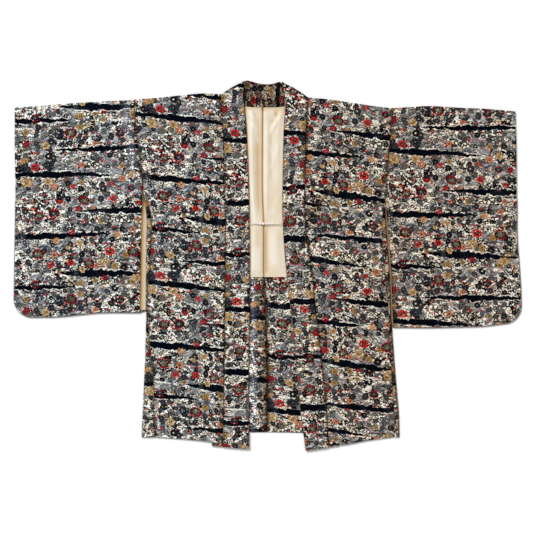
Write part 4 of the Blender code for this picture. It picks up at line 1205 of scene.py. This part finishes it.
def loose_leaves(look, paint, colour, place):
    """Four beds of brushed leaves, from long pale ones to short strokes of ink."""
    pale = (240, 234, 222)
    for size, shift, seed, leaf, turn, fill, stops in (
        ((25.5, 15.7), (0.0, 0.0), 41.0, (12.0, 2.3), 0.9, 0.6, (
            (0.0, (240, 233, 220)), (0.46, (210, 190, 160)), (0.62, (160, 152, 142)), (0.74, (22, 22, 26)),
            (0.93, (184, 156, 112)),
        )),
        ((17.0, 12.0), (0.4, 0.3), 43.0, (7.0, 1.5), 2.0, 0.5, (
            (0.0, paint.ink), (0.42, (236, 230, 216)), (0.86, (88, 86, 86)),
        )),
        ((13.0, 9.7), (0.7, 0.6), 47.0, (5.0, 1.2), 2.4, 0.7, (
            (0.0, paint.ink), (0.5, pale), (0.92, (196, 150, 132)),
        )),
        ((9.0, 7.0), (0.2, 0.8), 53.0, (3.4, 1.1), 3.0, 0.5, ((0.0, paint.ink), (0.52, pale))),
    ):
        colour = brushed_leaves(look, colour, place, size, shift, seed, leaf, turn, fill, stops)
    return colour


def cracked_patches(look, paint, colour, place, wrapped, patchy):
    """Patches of black cracks on ivory."""
    cracked = None
    for patch in CRACKLE:
        spread = look.vector("SUBTRACT", wrapped, (float(patch.across), float(patch.along), 0.0))
        spread = look.stretched(spread, 1 / patch.wide, 1 / patch.deep)
        inside = 1 - look.vector("LENGTH", spread, output="Value") + (patchy - 0.5) * 2.2
        cracked = inside if cracked is None else cracked | inside
    web = look.cracks(look.stretched(place, 0.75, 1.0), 0.15, "DISTANCE_TO_EDGE", "Distance")
    net = look.mix(look.step(web, 0.24, 0.13), (228, 219, 200), paint.ink)
    return look.mix(look.step(cracked, 0.02, 0.1), colour, net)


def small_motifs(look, paint, colour, place):
    """Small blossoms outlined in ink, then short slanting streaks, then flowers of six to eight petals."""
    ink = paint.ink
    for size, shift, seed, fill in ((17.0, (0.0, 0.0), 3.0, 0.42), (13.6, (0.43, 0.37), 8.0, 0.24)):
        share, _, chance = scattered_flowers(look, place, size, shift, seed, 0.32, 5, 4.6, 1.8, 0.12)
        body = look.ramp(
            chance[0] * (1 / fill),
            (0.0, (44, 46, 51)), (0.3, (140, 136, 128)), (0.52, (226, 218, 200)), (0.74, (88, 88, 90)),
        )
        heart = look.ramp(
            chance[1],
            (0.0, (214, 206, 188)), (0.36, (170, 136, 88)), (0.5, (186, 112, 84)), (0.6, (92, 90, 88)),
        )
        flower = look.rings(share, body, (0.62, 0.78, ink), (0.44, 0.36, ink), (0.3, 0.2, heart))
        colour = look.mix(look.step(share, 1.05, 0.95) * (chance[0] < fill), colour, flower)

    for size, shift, seed, slant in (
        ((24.0, 20.4), (0.2, 0.1), 21.0, 0.35),
        ((30.0, 22.7), (0.6, 0.7), 27.0, -0.25),
        ((36.0, 27.2), (0.1, 0.5), 33.0, 0.1),
    ):
        local, chance = flower_bed(look, place, size, shift, 0.4, seed)
        x, y, _ = look.split(local)
        thin = abs(y + x * slant) * 4.6
        streak = look.step(thin + abs(x), 6.4, 5.4) * (chance[0] < 0.33)
        streak_colour = look.ramp(chance[1], (0.0, paint.red), (0.5, paint.salmon), (0.7, (222, 180, 158)))
        colour = look.mix(streak, colour, streak_colour)

    for size, shift, seed, count, fill in (
        (25.5, (0.0, 0.0), 12.0, 8, 0.34),
        (34.0, (0.5, 0.45), 17.0, 6, 0.26),
        (27.2, (0.3, 0.6), 31.0, 7, 0.28),
    ):
        share, wave, chance = scattered_flowers(look, place, size, shift, seed, 0.3, count, 6.0, 2.8, 0.1)
        body = look.ramp(
            chance[0] * (1 / fill),
            (0.0, (54, 57, 63)), (0.34, (176, 140, 88)), (0.46, (168, 34, 42)), (0.5, (108, 108, 108)),
            (0.72, (32, 33, 39)), (0.95, (206, 132, 100)),
        )
        heart = look.ramp(
            chance[1],
            (0.0, (120, 114, 104)), (0.4, paint.sage), (0.74, (166, 132, 84)), (0.88, (210, 200, 180)),
        )
        veins = look.step(wave, -0.45, -0.8) * look.step(share, 0.3, 0.42)
        flower = look.mix(veins * 0.85 | look.step(share, 0.74, 0.95) * 0.6, body, ink)
        flower = look.rings(share, flower, (0.42, 0.33, ink), (0.27, 0.18, heart))
        colour = look.mix(look.step(share, 1.04, 0.96) * (chance[0] < fill), colour, flower)
    return colour


def mist_bands(look, paint, colour, flat, wrapped, patchy, lines):
    """The bands of mist, with a pale line along the lower side."""
    across_bolt, along_bolt, _ = look.split(wrapped)
    wide_wave = look.noise(flat, 0.03, 2.0)
    rough_wave = look.noise(flat, 0.14, 2.0)
    swayed = along_bolt + (wide_wave - 0.5) * 12 + (rough_wave - 0.5) * 9
    inside = mist_mask(look, across_bolt, swayed, (patchy - 0.5) * 1.5 + 0.95)
    pale_line = look.step(inside, -2.4, -1.4) * look.step(inside, 0.2, -0.5) * look.step(patchy, 0.5, 0.56)
    colour = look.mix(pale_line * 0.85, colour, paint.ground)
    smudged = look.mix(look.step(lines, 0.56, 0.68) * 0.3, paint.navy, paint.slate)
    return look.mix(look.step(inside, 0.0, 0.7), colour, smudged)


def large_blooms(look, paint, colour, place, mottle, flecked, fleck_colour):
    """The charted blooms: ringed, solid, slate and gold flowers, and maple leaves."""
    ink = paint.ink
    x, y, kind = look.split(charted_blooms(look, place))
    kind = kind * 50.0
    angle = look.maths("ARCTAN2", y, x)
    reach = look.maths("SQRT", x * x + y * y)
    eight, six = petals(look, angle, 8, 0.4), petals(look, angle, 6, 0.9)
    beads = petals(look, angle, 13, 0.0)
    lobes = abs(petals(look, angle, 3.5, 1.1))
    ringed, leafy, golden = kind < 1.5, kind > 4.5, (kind > 3.5) * (kind < 4.5)
    flowery, unringed, ungilt = 1 - leafy, 1 - ringed, 1 - golden
    wave = eight * 0.09 * ungilt * unringed + six * 0.12 * golden + beads * 0.04 * ringed
    share = reach / ((1 + wave) * flowery + (0.22 + lobes * 0.7) * leafy)

    rim = look.ramp(
        kind / 7.0 + 0.01,
        (0.0, paint.red), (1 / 7, paint.red), (2 / 7, paint.red), (3 / 7, paint.slate),
        (4 / 7, paint.mustard), (5 / 7, (170, 46, 50)), (6 / 7, (196, 140, 92)),
    )
    rim = look.mix(look.step(mottle, 0.5, 0.6) * (kind < 2.5) * 0.5, rim, paint.salmon)
    rim = look.mix(look.step(mottle, 0.54, 0.62) * golden * 0.7, rim, (132, 108, 76))
    rim = look.mix(look.step(mottle, 0.42, 0.34) * golden * 0.6, rim, paint.ground)
    broken = look.step(petals(look, angle, 2, 0.0) + (mottle - 0.5) * 7, 0.1, 0.7) * ringed
    notch = look.step(beads, 0.3, -0.2) * look.step(share, 0.66, 0.76) * ringed
    veins = look.step(eight, -0.4, -0.8) * look.step(share, 0.3, 0.42) * unringed * ungilt * flowery
    rim = look.mix(notch | veins * 0.9 | broken * 0.85, rim, ink)

    disc = look.mix(kind > 0.5, paint.sage, paint.slate)
    disc = look.mix(look.step(mottle, 0.5, 0.6) * 0.8, disc, (66, 62, 56))
    spots = look.step(petals(look, angle, 7, 0.3), -0.2, 0.4) * look.step(share, 0.3, 0.46) * 0.8
    disc = look.mix(spots | look.step(share, 0.63, 0.71), disc, ink)

    bloom = look.mix(look.step(share, 0.76, 0.72) * ringed, rim, disc)
    bloom = look.mix(look.step(share, 0.44, 0.36) * unringed * flowery * (1 - golden * 0.5), bloom, ink)
    bloom = look.mix(look.step(share, 0.26, 0.16) * flowery * 0.6, bloom, (140, 130, 108))
    bloom = look.mix(leafy * (look.step(lobes, 0.4, 0.15) | look.step(mottle, 0.54, 0.62) * 0.7), bloom, ink)
    bloom = look.mix(flecked * 0.5, bloom, fleck_colour)
    return look.mix(look.step(share, 1.04, 0.96), colour, bloom)


def print_look(paint):
    """The print from the ground up, its mist and charted blooms, and the cloth's painted shade and light and
    its grain.
    """
    look = Look("haori_print")
    flat = look.cloth_place()
    wrapped = wrapped_along(look, flat, REPEAT)

    # The hand's wobble: slow, and quick enough to break an edge.
    slow = look.noise(flat, 0.07, 1.0, output="Color")
    bleed = look.noise(flat, 0.3, 1.0, output="Color")
    hand = look.vector("MULTIPLY_ADD", slow, (5.0, 5.0, 0.0), (-2.5, -2.5, 0.0))
    hand = look.vector("MULTIPLY_ADD", bleed, (3.4, 3.4, 0.0), look.vector("ADD", hand, (-1.7, -1.7, 0.0)))
    place = look.vector("ADD", flat, hand)
    mottle = look.noise(flat, 0.2, 2.0)
    patchy = look.noise(flat, 0.055, 1.0)

    bare, lines, clear = bolt_ground(look, paint, flat, bleed, patchy)
    colour = loose_leaves(look, paint, bare, place)
    colour = look.mix(clear * 0.88, colour, bare)
    colour = cracked_patches(look, paint, colour, place, wrapped, patchy)
    dot_stops = (0.0, paint.ink), (0.66, paint.ground), (0.96, paint.red)
    dotted, dot_colour = dots(look, place, 0.15, 0.2, 0.44, 1 - clear * 0.85, dot_stops)
    colour = look.mix(dotted, colour, dot_colour)
    fleck_stops = (0.0, paint.ink), (0.62, (252, 248, 240)), (0.9, (196, 150, 96))
    flecked, fleck_colour = dots(look, place, 0.27, 0.32, 0.34, 1 - clear * 0.7, fleck_stops)
    colour = look.mix(flecked * 0.9, colour, fleck_colour)
    colour = small_motifs(look, paint, colour, place)
    colour = mist_bands(look, paint, colour, flat, wrapped, patchy, lines)
    chart_place = look.vector("ADD", wrapped, hand)
    colour = large_blooms(look, paint, colour, chart_place, mottle, flecked, fleck_colour)

    # Dye that took unevenly, then painted shade of seams and folds and painted highlights on crests.
    colour = look.mix(look.step(mottle, 0.54, 0.72) * 0.38, colour, paint.ink)
    colour = look.add("Gamma", {}, {"Color": colour, "Gamma": 1.12})
    colour = look.vector("MINIMUM", look.vector("MULTIPLY", colour, (1.09, 1.11, 1.135)), (0.9, 0.89, 0.88))
    colour = shaded(look, colour, (1.1, 0.96, 0.8), (14, 11, 9), 0.86)

    # Painted light falling across the body: brighter and cooler towards the wearer's right, darker and
    # warmer towards the wearer's left.
    over_body = look.split(look.add("TexCoord", {}, {}, "Object"))[0]
    painted_brighter = look.vector("MULTIPLY", colour, (1.03, 1.09, 1.13))
    painted_darker = look.vector("MULTIPLY", colour, (0.93, 0.9, 0.85))
    colour = look.mix(look.step(over_body, -0.42, 0.36), painted_brighter, painted_darker)
    grain = look.noise(look.stretched(flat, 1.0, 0.7), 1.1, 2.0)
    bump = look.add("Bump", {}, {"Strength": 0.6, "Distance": paint.crepe, "Height": grain})
    return look.surface({
        "Base Color": colour, "Roughness": paint.roughness, "Normal": bump,
        "Sheen Weight": 0.005, "Specular IOR Level": 0.01,
    })


def lining_look(silk):
    """Plain cream silk: a fine even weave, faint slubs along it, slow warmer patches, and its painted shade
    and highlights.
    """
    look = Look("haori_lining")
    place = look.cloth_place()
    slow = look.noise(place, 0.016, 2.0)
    slub = look.noise(look.stretched(place, 1.0, 0.06), 0.9, 2.0)
    colour = look.mix(look.step(slow, 0.42, 0.68) * 0.4, silk.silk, silk.shade)
    colour = look.mix(look.step(slub, 0.55, 0.75) * 0.16, colour, silk.shade)
    # Painted shade in seams and dips, warmer and then deep brown where it is deepest, and painted highlights
    # on crests.
    colour = shaded(look, colour, (1.0, 1.0, 0.97), (184, 144, 86), 1.4)
    colour = look.mix(look.step(look.shade(), 0.45, 1.0), colour, (108, 68, 34))
    x, y, _ = look.split(place)
    weave = look.maths("SINE", x * 9.0) * look.maths("SINE", y * 9.0) * 0.5 + slub
    bump = look.add("Bump", {}, {"Strength": 0.4, "Distance": 0.00006, "Height": weave})
    return look.surface({
        "Base Color": colour, "Roughness": silk.roughness, "Normal": bump, "Sheen Weight": 0.1,
    })


def pearl_look(tie):
    """Pearl: a warm white body with a soft blush that changes from bead to bead, under a clear coat."""
    look = Look("tie_pearl")
    place = look.add("TexCoord", {}, {}, "Object")
    cast = look.noise(look.vector("MULTIPLY", place, (1.0, 0.4, 0.4)), 190.0, 1.0)
    colour = look.mix(look.step(cast, 0.4, 0.62), tie.pearl, tie.blush)
    coat = {"Coat Weight": 0.6, "Coat Roughness": 0.12}
    return look.surface({"Base Color": colour, "Roughness": 0.22, **coat})


def cord_look(tie):
    """Twisted silk cord: slanting strands, with painted shade in the grooves between them."""
    look = Look("tie_cord")
    x, y, z = look.split(look.add("TexCoord", {}, {}, "Object"))
    strand = look.maths("SINE", (x + y * 0.6 + z) * 7000.0)
    colour = look.mix(look.step(strand, -0.2, -0.8) * 0.7, tie.cord, tie.cord * 0.45)
    bump = look.add("Bump", {}, {"Strength": 0.5, "Distance": 0.0001, "Height": strand})
    return look.surface({"Base Color": colour, "Roughness": 0.7, "Normal": bump})


def shared(scene, name, make, group):
    """The material of that name, made once from its group of properties."""
    return bpy.data.materials.get(name) or make(getattr(scene, group))


def both_sides(scene, make):
    """Makes a piece of printed cloth for each side."""
    for side in SIDES:
        make(side, scene.haori_cloth, shared(scene, "haori_print", print_look, "haori_print"))


class HAORI_OT_bodies(bpy.types.Operator):
    """Makes the two lengths of cloth of the fronts and back"""

    bl_idname = "haori.bodies"
    bl_label = "Fronts and back"

    def execute(self, context):
        both_sides(context.scene, make_body)
        return {"FINISHED"}


class HAORI_OT_gussets(bpy.types.Operator):
    """Makes the two strips that join front and back at the sides"""

    bl_idname = "haori.gussets"
    bl_label = "Side gussets"

    def execute(self, context):
        both_sides(context.scene, make_gusset)
        return {"FINISHED"}


class HAORI_OT_sleeves(bpy.types.Operator):
    """Makes the two sleeves"""

    bl_idname = "haori.sleeves"
    bl_label = "Sleeves"

    def execute(self, context):
        both_sides(context.scene, make_sleeve)
        return {"FINISHED"}


class HAORI_OT_collar(bpy.types.Operator):
    """Makes the turned-back collar on both fronts and behind the neck"""

    bl_idname = "haori.collar"
    bl_label = "Collar"

    def execute(self, context):
        both_sides(context.scene, make_collar)
        make_neck(bpy.data.materials["haori_print"])
        return {"FINISHED"}


class HAORI_OT_linings(bpy.types.Operator):
    """Makes the lining of the back and of the sleeves, and the printed turn-up above the hem"""

    bl_idname = "haori.linings"
    bl_label = "Lining and turn-up"

    def execute(self, context):
        scene = context.scene
        cloth = scene.haori_cloth
        silk = shared(scene, "haori_lining", lining_look, "haori_lining")
        printed = shared(scene, "haori_print", print_look, "haori_print")
        plain = Bolt(-700, 800, 0.0, 1.0, 0)
        for side in SIDES:
            lining_roll, turn_up_roll = ((CENTRE_ROLL,), (TURN_UP_ROLL,)) if side == "right" else ((), ())
            make_inner_back(
                f"lining_{side}_back", f"lining_back_{side}", side, NECKLINE[3].y, LINING_END_Y + GAP / 2,
                lining_roll, LINING_CREASES, plain, cloth, silk, "lining", (0.09, 0.42), 0.033,
            )
            make_inner_back(
                f"{side}_turn_up", f"turn_up_{side}", side, LINING_END_Y - GAP / 2, BACK_HEM_CENTRE,
                turn_up_roll, TURN_UP_CREASES, TURN_UP_BOLT[side], cloth, printed, "print",
                (0.12, 0.38), 0.036,
            )
            make_sleeve_lining(side, cloth, silk)
        return {"FINISHED"}


class HAORI_OT_tie(bpy.types.Operator):
    """Makes the string of pearls and the loops that hold it"""

    bl_idname = "haori.tie"
    bl_label = "Bead tie"

    def execute(self, context):
        pearl = shared(context.scene, "tie_pearl", pearl_look, "haori_tie")
        cord = shared(context.scene, "tie_cord", cord_look, "haori_tie")
        tubes = [
            rounded(*BEAD_STEPS, (bead.x, TIE_Y + 0.12 * np.sin(number * 2.3), TIE_Z), bead.radius, 0.95)
            for number, bead in enumerate(TIE_BEADS)
        ]
        first, last = TIE_BEADS[0], TIE_BEADS[-1]
        run = np.linspace(first.x - first.radius, last.x + last.radius, STRING_STEPS[0])[:, None]
        turn = np.arange(STRING_STEPS[1]) * 2 * np.pi / STRING_STEPS[1]
        radius = 0.55 + 0.06 * np.sin(run * 5.0)
        tubes.append(points(run + 0 * turn, TIE_Y + radius * np.cos(turn), TIE_Z + radius * np.sin(turn)))
        starts = np.cumsum([0] + [tube.size // 3 for tube in tubes])
        grids = [wrapped_grid(tube, start) for tube, start in zip(tubes, starts)]
        places = np.concatenate([tube.reshape(-1, 3) for tube in tubes])
        obj = mesh_piece("pearl_string", places, np.concatenate(grids), pearl, {}, 60)
        obj.data.materials.append(cord)
        is_cord = np.repeat([0] * len(TIE_BEADS) + [1], [len(grid) for grid in grids])
        obj.data.polygons.foreach_set("material_index", is_cord.astype(np.int32))
        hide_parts("bead_tie")
        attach(obj, "root")

        for side, end in zip(SIDES, (first, last)):
            end_x = end.x - inward(side) * np.sqrt(end.radius**2 - TIE_NECK**2)
            centre_x = end_x - inward(side) * (LOOP_RADIUS + LOOP_CORD + GAP)
            round_loop = np.arange(LOOP_STEPS)[:, None] * 2 * np.pi / LOOP_STEPS
            turn = np.arange(CORD_STEPS) * 2 * np.pi / CORD_STEPS
            thick = LOOP_CORD * (0.86 + 0.14 * np.cos(2 * turn + 9 * round_loop))
            radius = LOOP_RADIUS + thick * np.cos(turn)
            x, y = centre_x + radius * np.cos(round_loop), TIE_Y + radius * np.sin(round_loop)
            ring = points(x, y, TIE_Z + thick * np.sin(turn))
            grid = wrapped_grid(ring, closed=True)
            obj = mesh_piece(f"{side}_loop", ring.reshape(-1, 3), grid, cord, {}, 60)
            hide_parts(f"tie_loop_{side}")
            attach(obj, "root")
        return {"FINISHED"}


class HAORI_OT_stage(bpy.types.Operator):
    """Makes the pale floor, the soft lights and the camera straight above"""

    bl_idname = "haori.stage"
    bl_label = "Studio"

    def execute(self, context):
        scene, stage = context.scene, context.scene.haori_stage
        mesh = bpy.data.meshes.new("floor")
        corners = (-1, -1), (1, -1), (1, 1), (-1, 1)
        places = [(x * FLOOR_HALF, y * FLOOR_HALF, FLOOR_Z) for x, y in corners]
        mesh.from_pydata(places, [], [(0, 1, 2, 3)])
        mesh.materials.append(Look("studio_floor").surface({"Base Color": stage.floor, "Roughness": 0.9}))
        floor = bpy.data.objects.new("floor", mesh)
        scene.collection.objects.link(floor)

        world = bpy.data.worlds.new("studio")
        world.use_nodes = True
        light = world.node_tree.nodes["Background"].inputs
        light["Color"].default_value = (1.0, 1.0, 1.0, 1.0)
        light["Strength"].default_value = stage.fill
        scene.world = world
        sun = bpy.data.lights.new("soft_key", "SUN")
        sun.energy = stage.key
        sun.angle = SUN_ANGLE
        key = bpy.data.objects.new("soft_key", sun)
        key.rotation_euler = Vector(SUN_WAY).to_track_quat("-Z", "Y").to_euler()
        scene.collection.objects.link(key)

        camera = bpy.data.cameras.new("overhead")
        camera.lens = LENS
        camera.sensor_width = SENSOR
        camera.clip_end = 50.0
        eye = bpy.data.objects.new("overhead", camera)
        eye.location = (VIEW_X, VIEW_Y, stage.width * LENS / SENSOR)
        scene.collection.objects.link(eye)
        scene.camera = eye
        scene.view_settings.view_transform = "Standard"
        return {"FINISHED"}


class HAORI_PT_panel(bpy.types.Panel):
    """Lists the steps that make the haori"""

    bl_idname = "HAORI_PT_panel"
    bl_label = "Haori"
    bl_space_type = "VIEW_3D"
    bl_region_type = "UI"
    bl_category = "Haori"

    def draw(self, context):
        for operator in OPERATORS:
            self.layout.operator(operator.bl_idname)
        for group in GROUPS:
            for name in GROUPS[group].__annotations__:
                self.layout.prop(getattr(context.scene, group), name)


OPERATORS = (
    HAORI_OT_bodies, HAORI_OT_gussets, HAORI_OT_sleeves, HAORI_OT_collar, HAORI_OT_linings, HAORI_OT_tie,
    HAORI_OT_stage,
)
GROUPS = {
    "haori_print": HaoriPrint,
    "haori_cloth": HaoriCloth,
    "haori_lining": HaoriLining,
    "haori_tie": HaoriTie,
    "haori_stage": HaoriStage,
}


def register():
    for name, group in GROUPS.items():
        bpy.utils.register_class(group)
        setattr(bpy.types.Scene, name, bpy.props.PointerProperty(type=group))
    for operator in OPERATORS:
        bpy.utils.register_class(operator)
    bpy.utils.register_class(HAORI_PT_panel)


def unregister():
    bpy.utils.unregister_class(HAORI_PT_panel)
    for operator in reversed(OPERATORS):
        bpy.utils.unregister_class(operator)
    for name, group in reversed(list(GROUPS.items())):
        delattr(bpy.types.Scene, name)
        bpy.utils.unregister_class(group)


def main():
    register()
    bpy.ops.haori.bodies()
    bpy.ops.haori.gussets()
    bpy.ops.haori.sleeves()
    bpy.ops.haori.collar()
    bpy.ops.haori.linings()
    bpy.ops.haori.tie()
    bpy.ops.haori.stage()


if __name__ == "__main__":
    main()
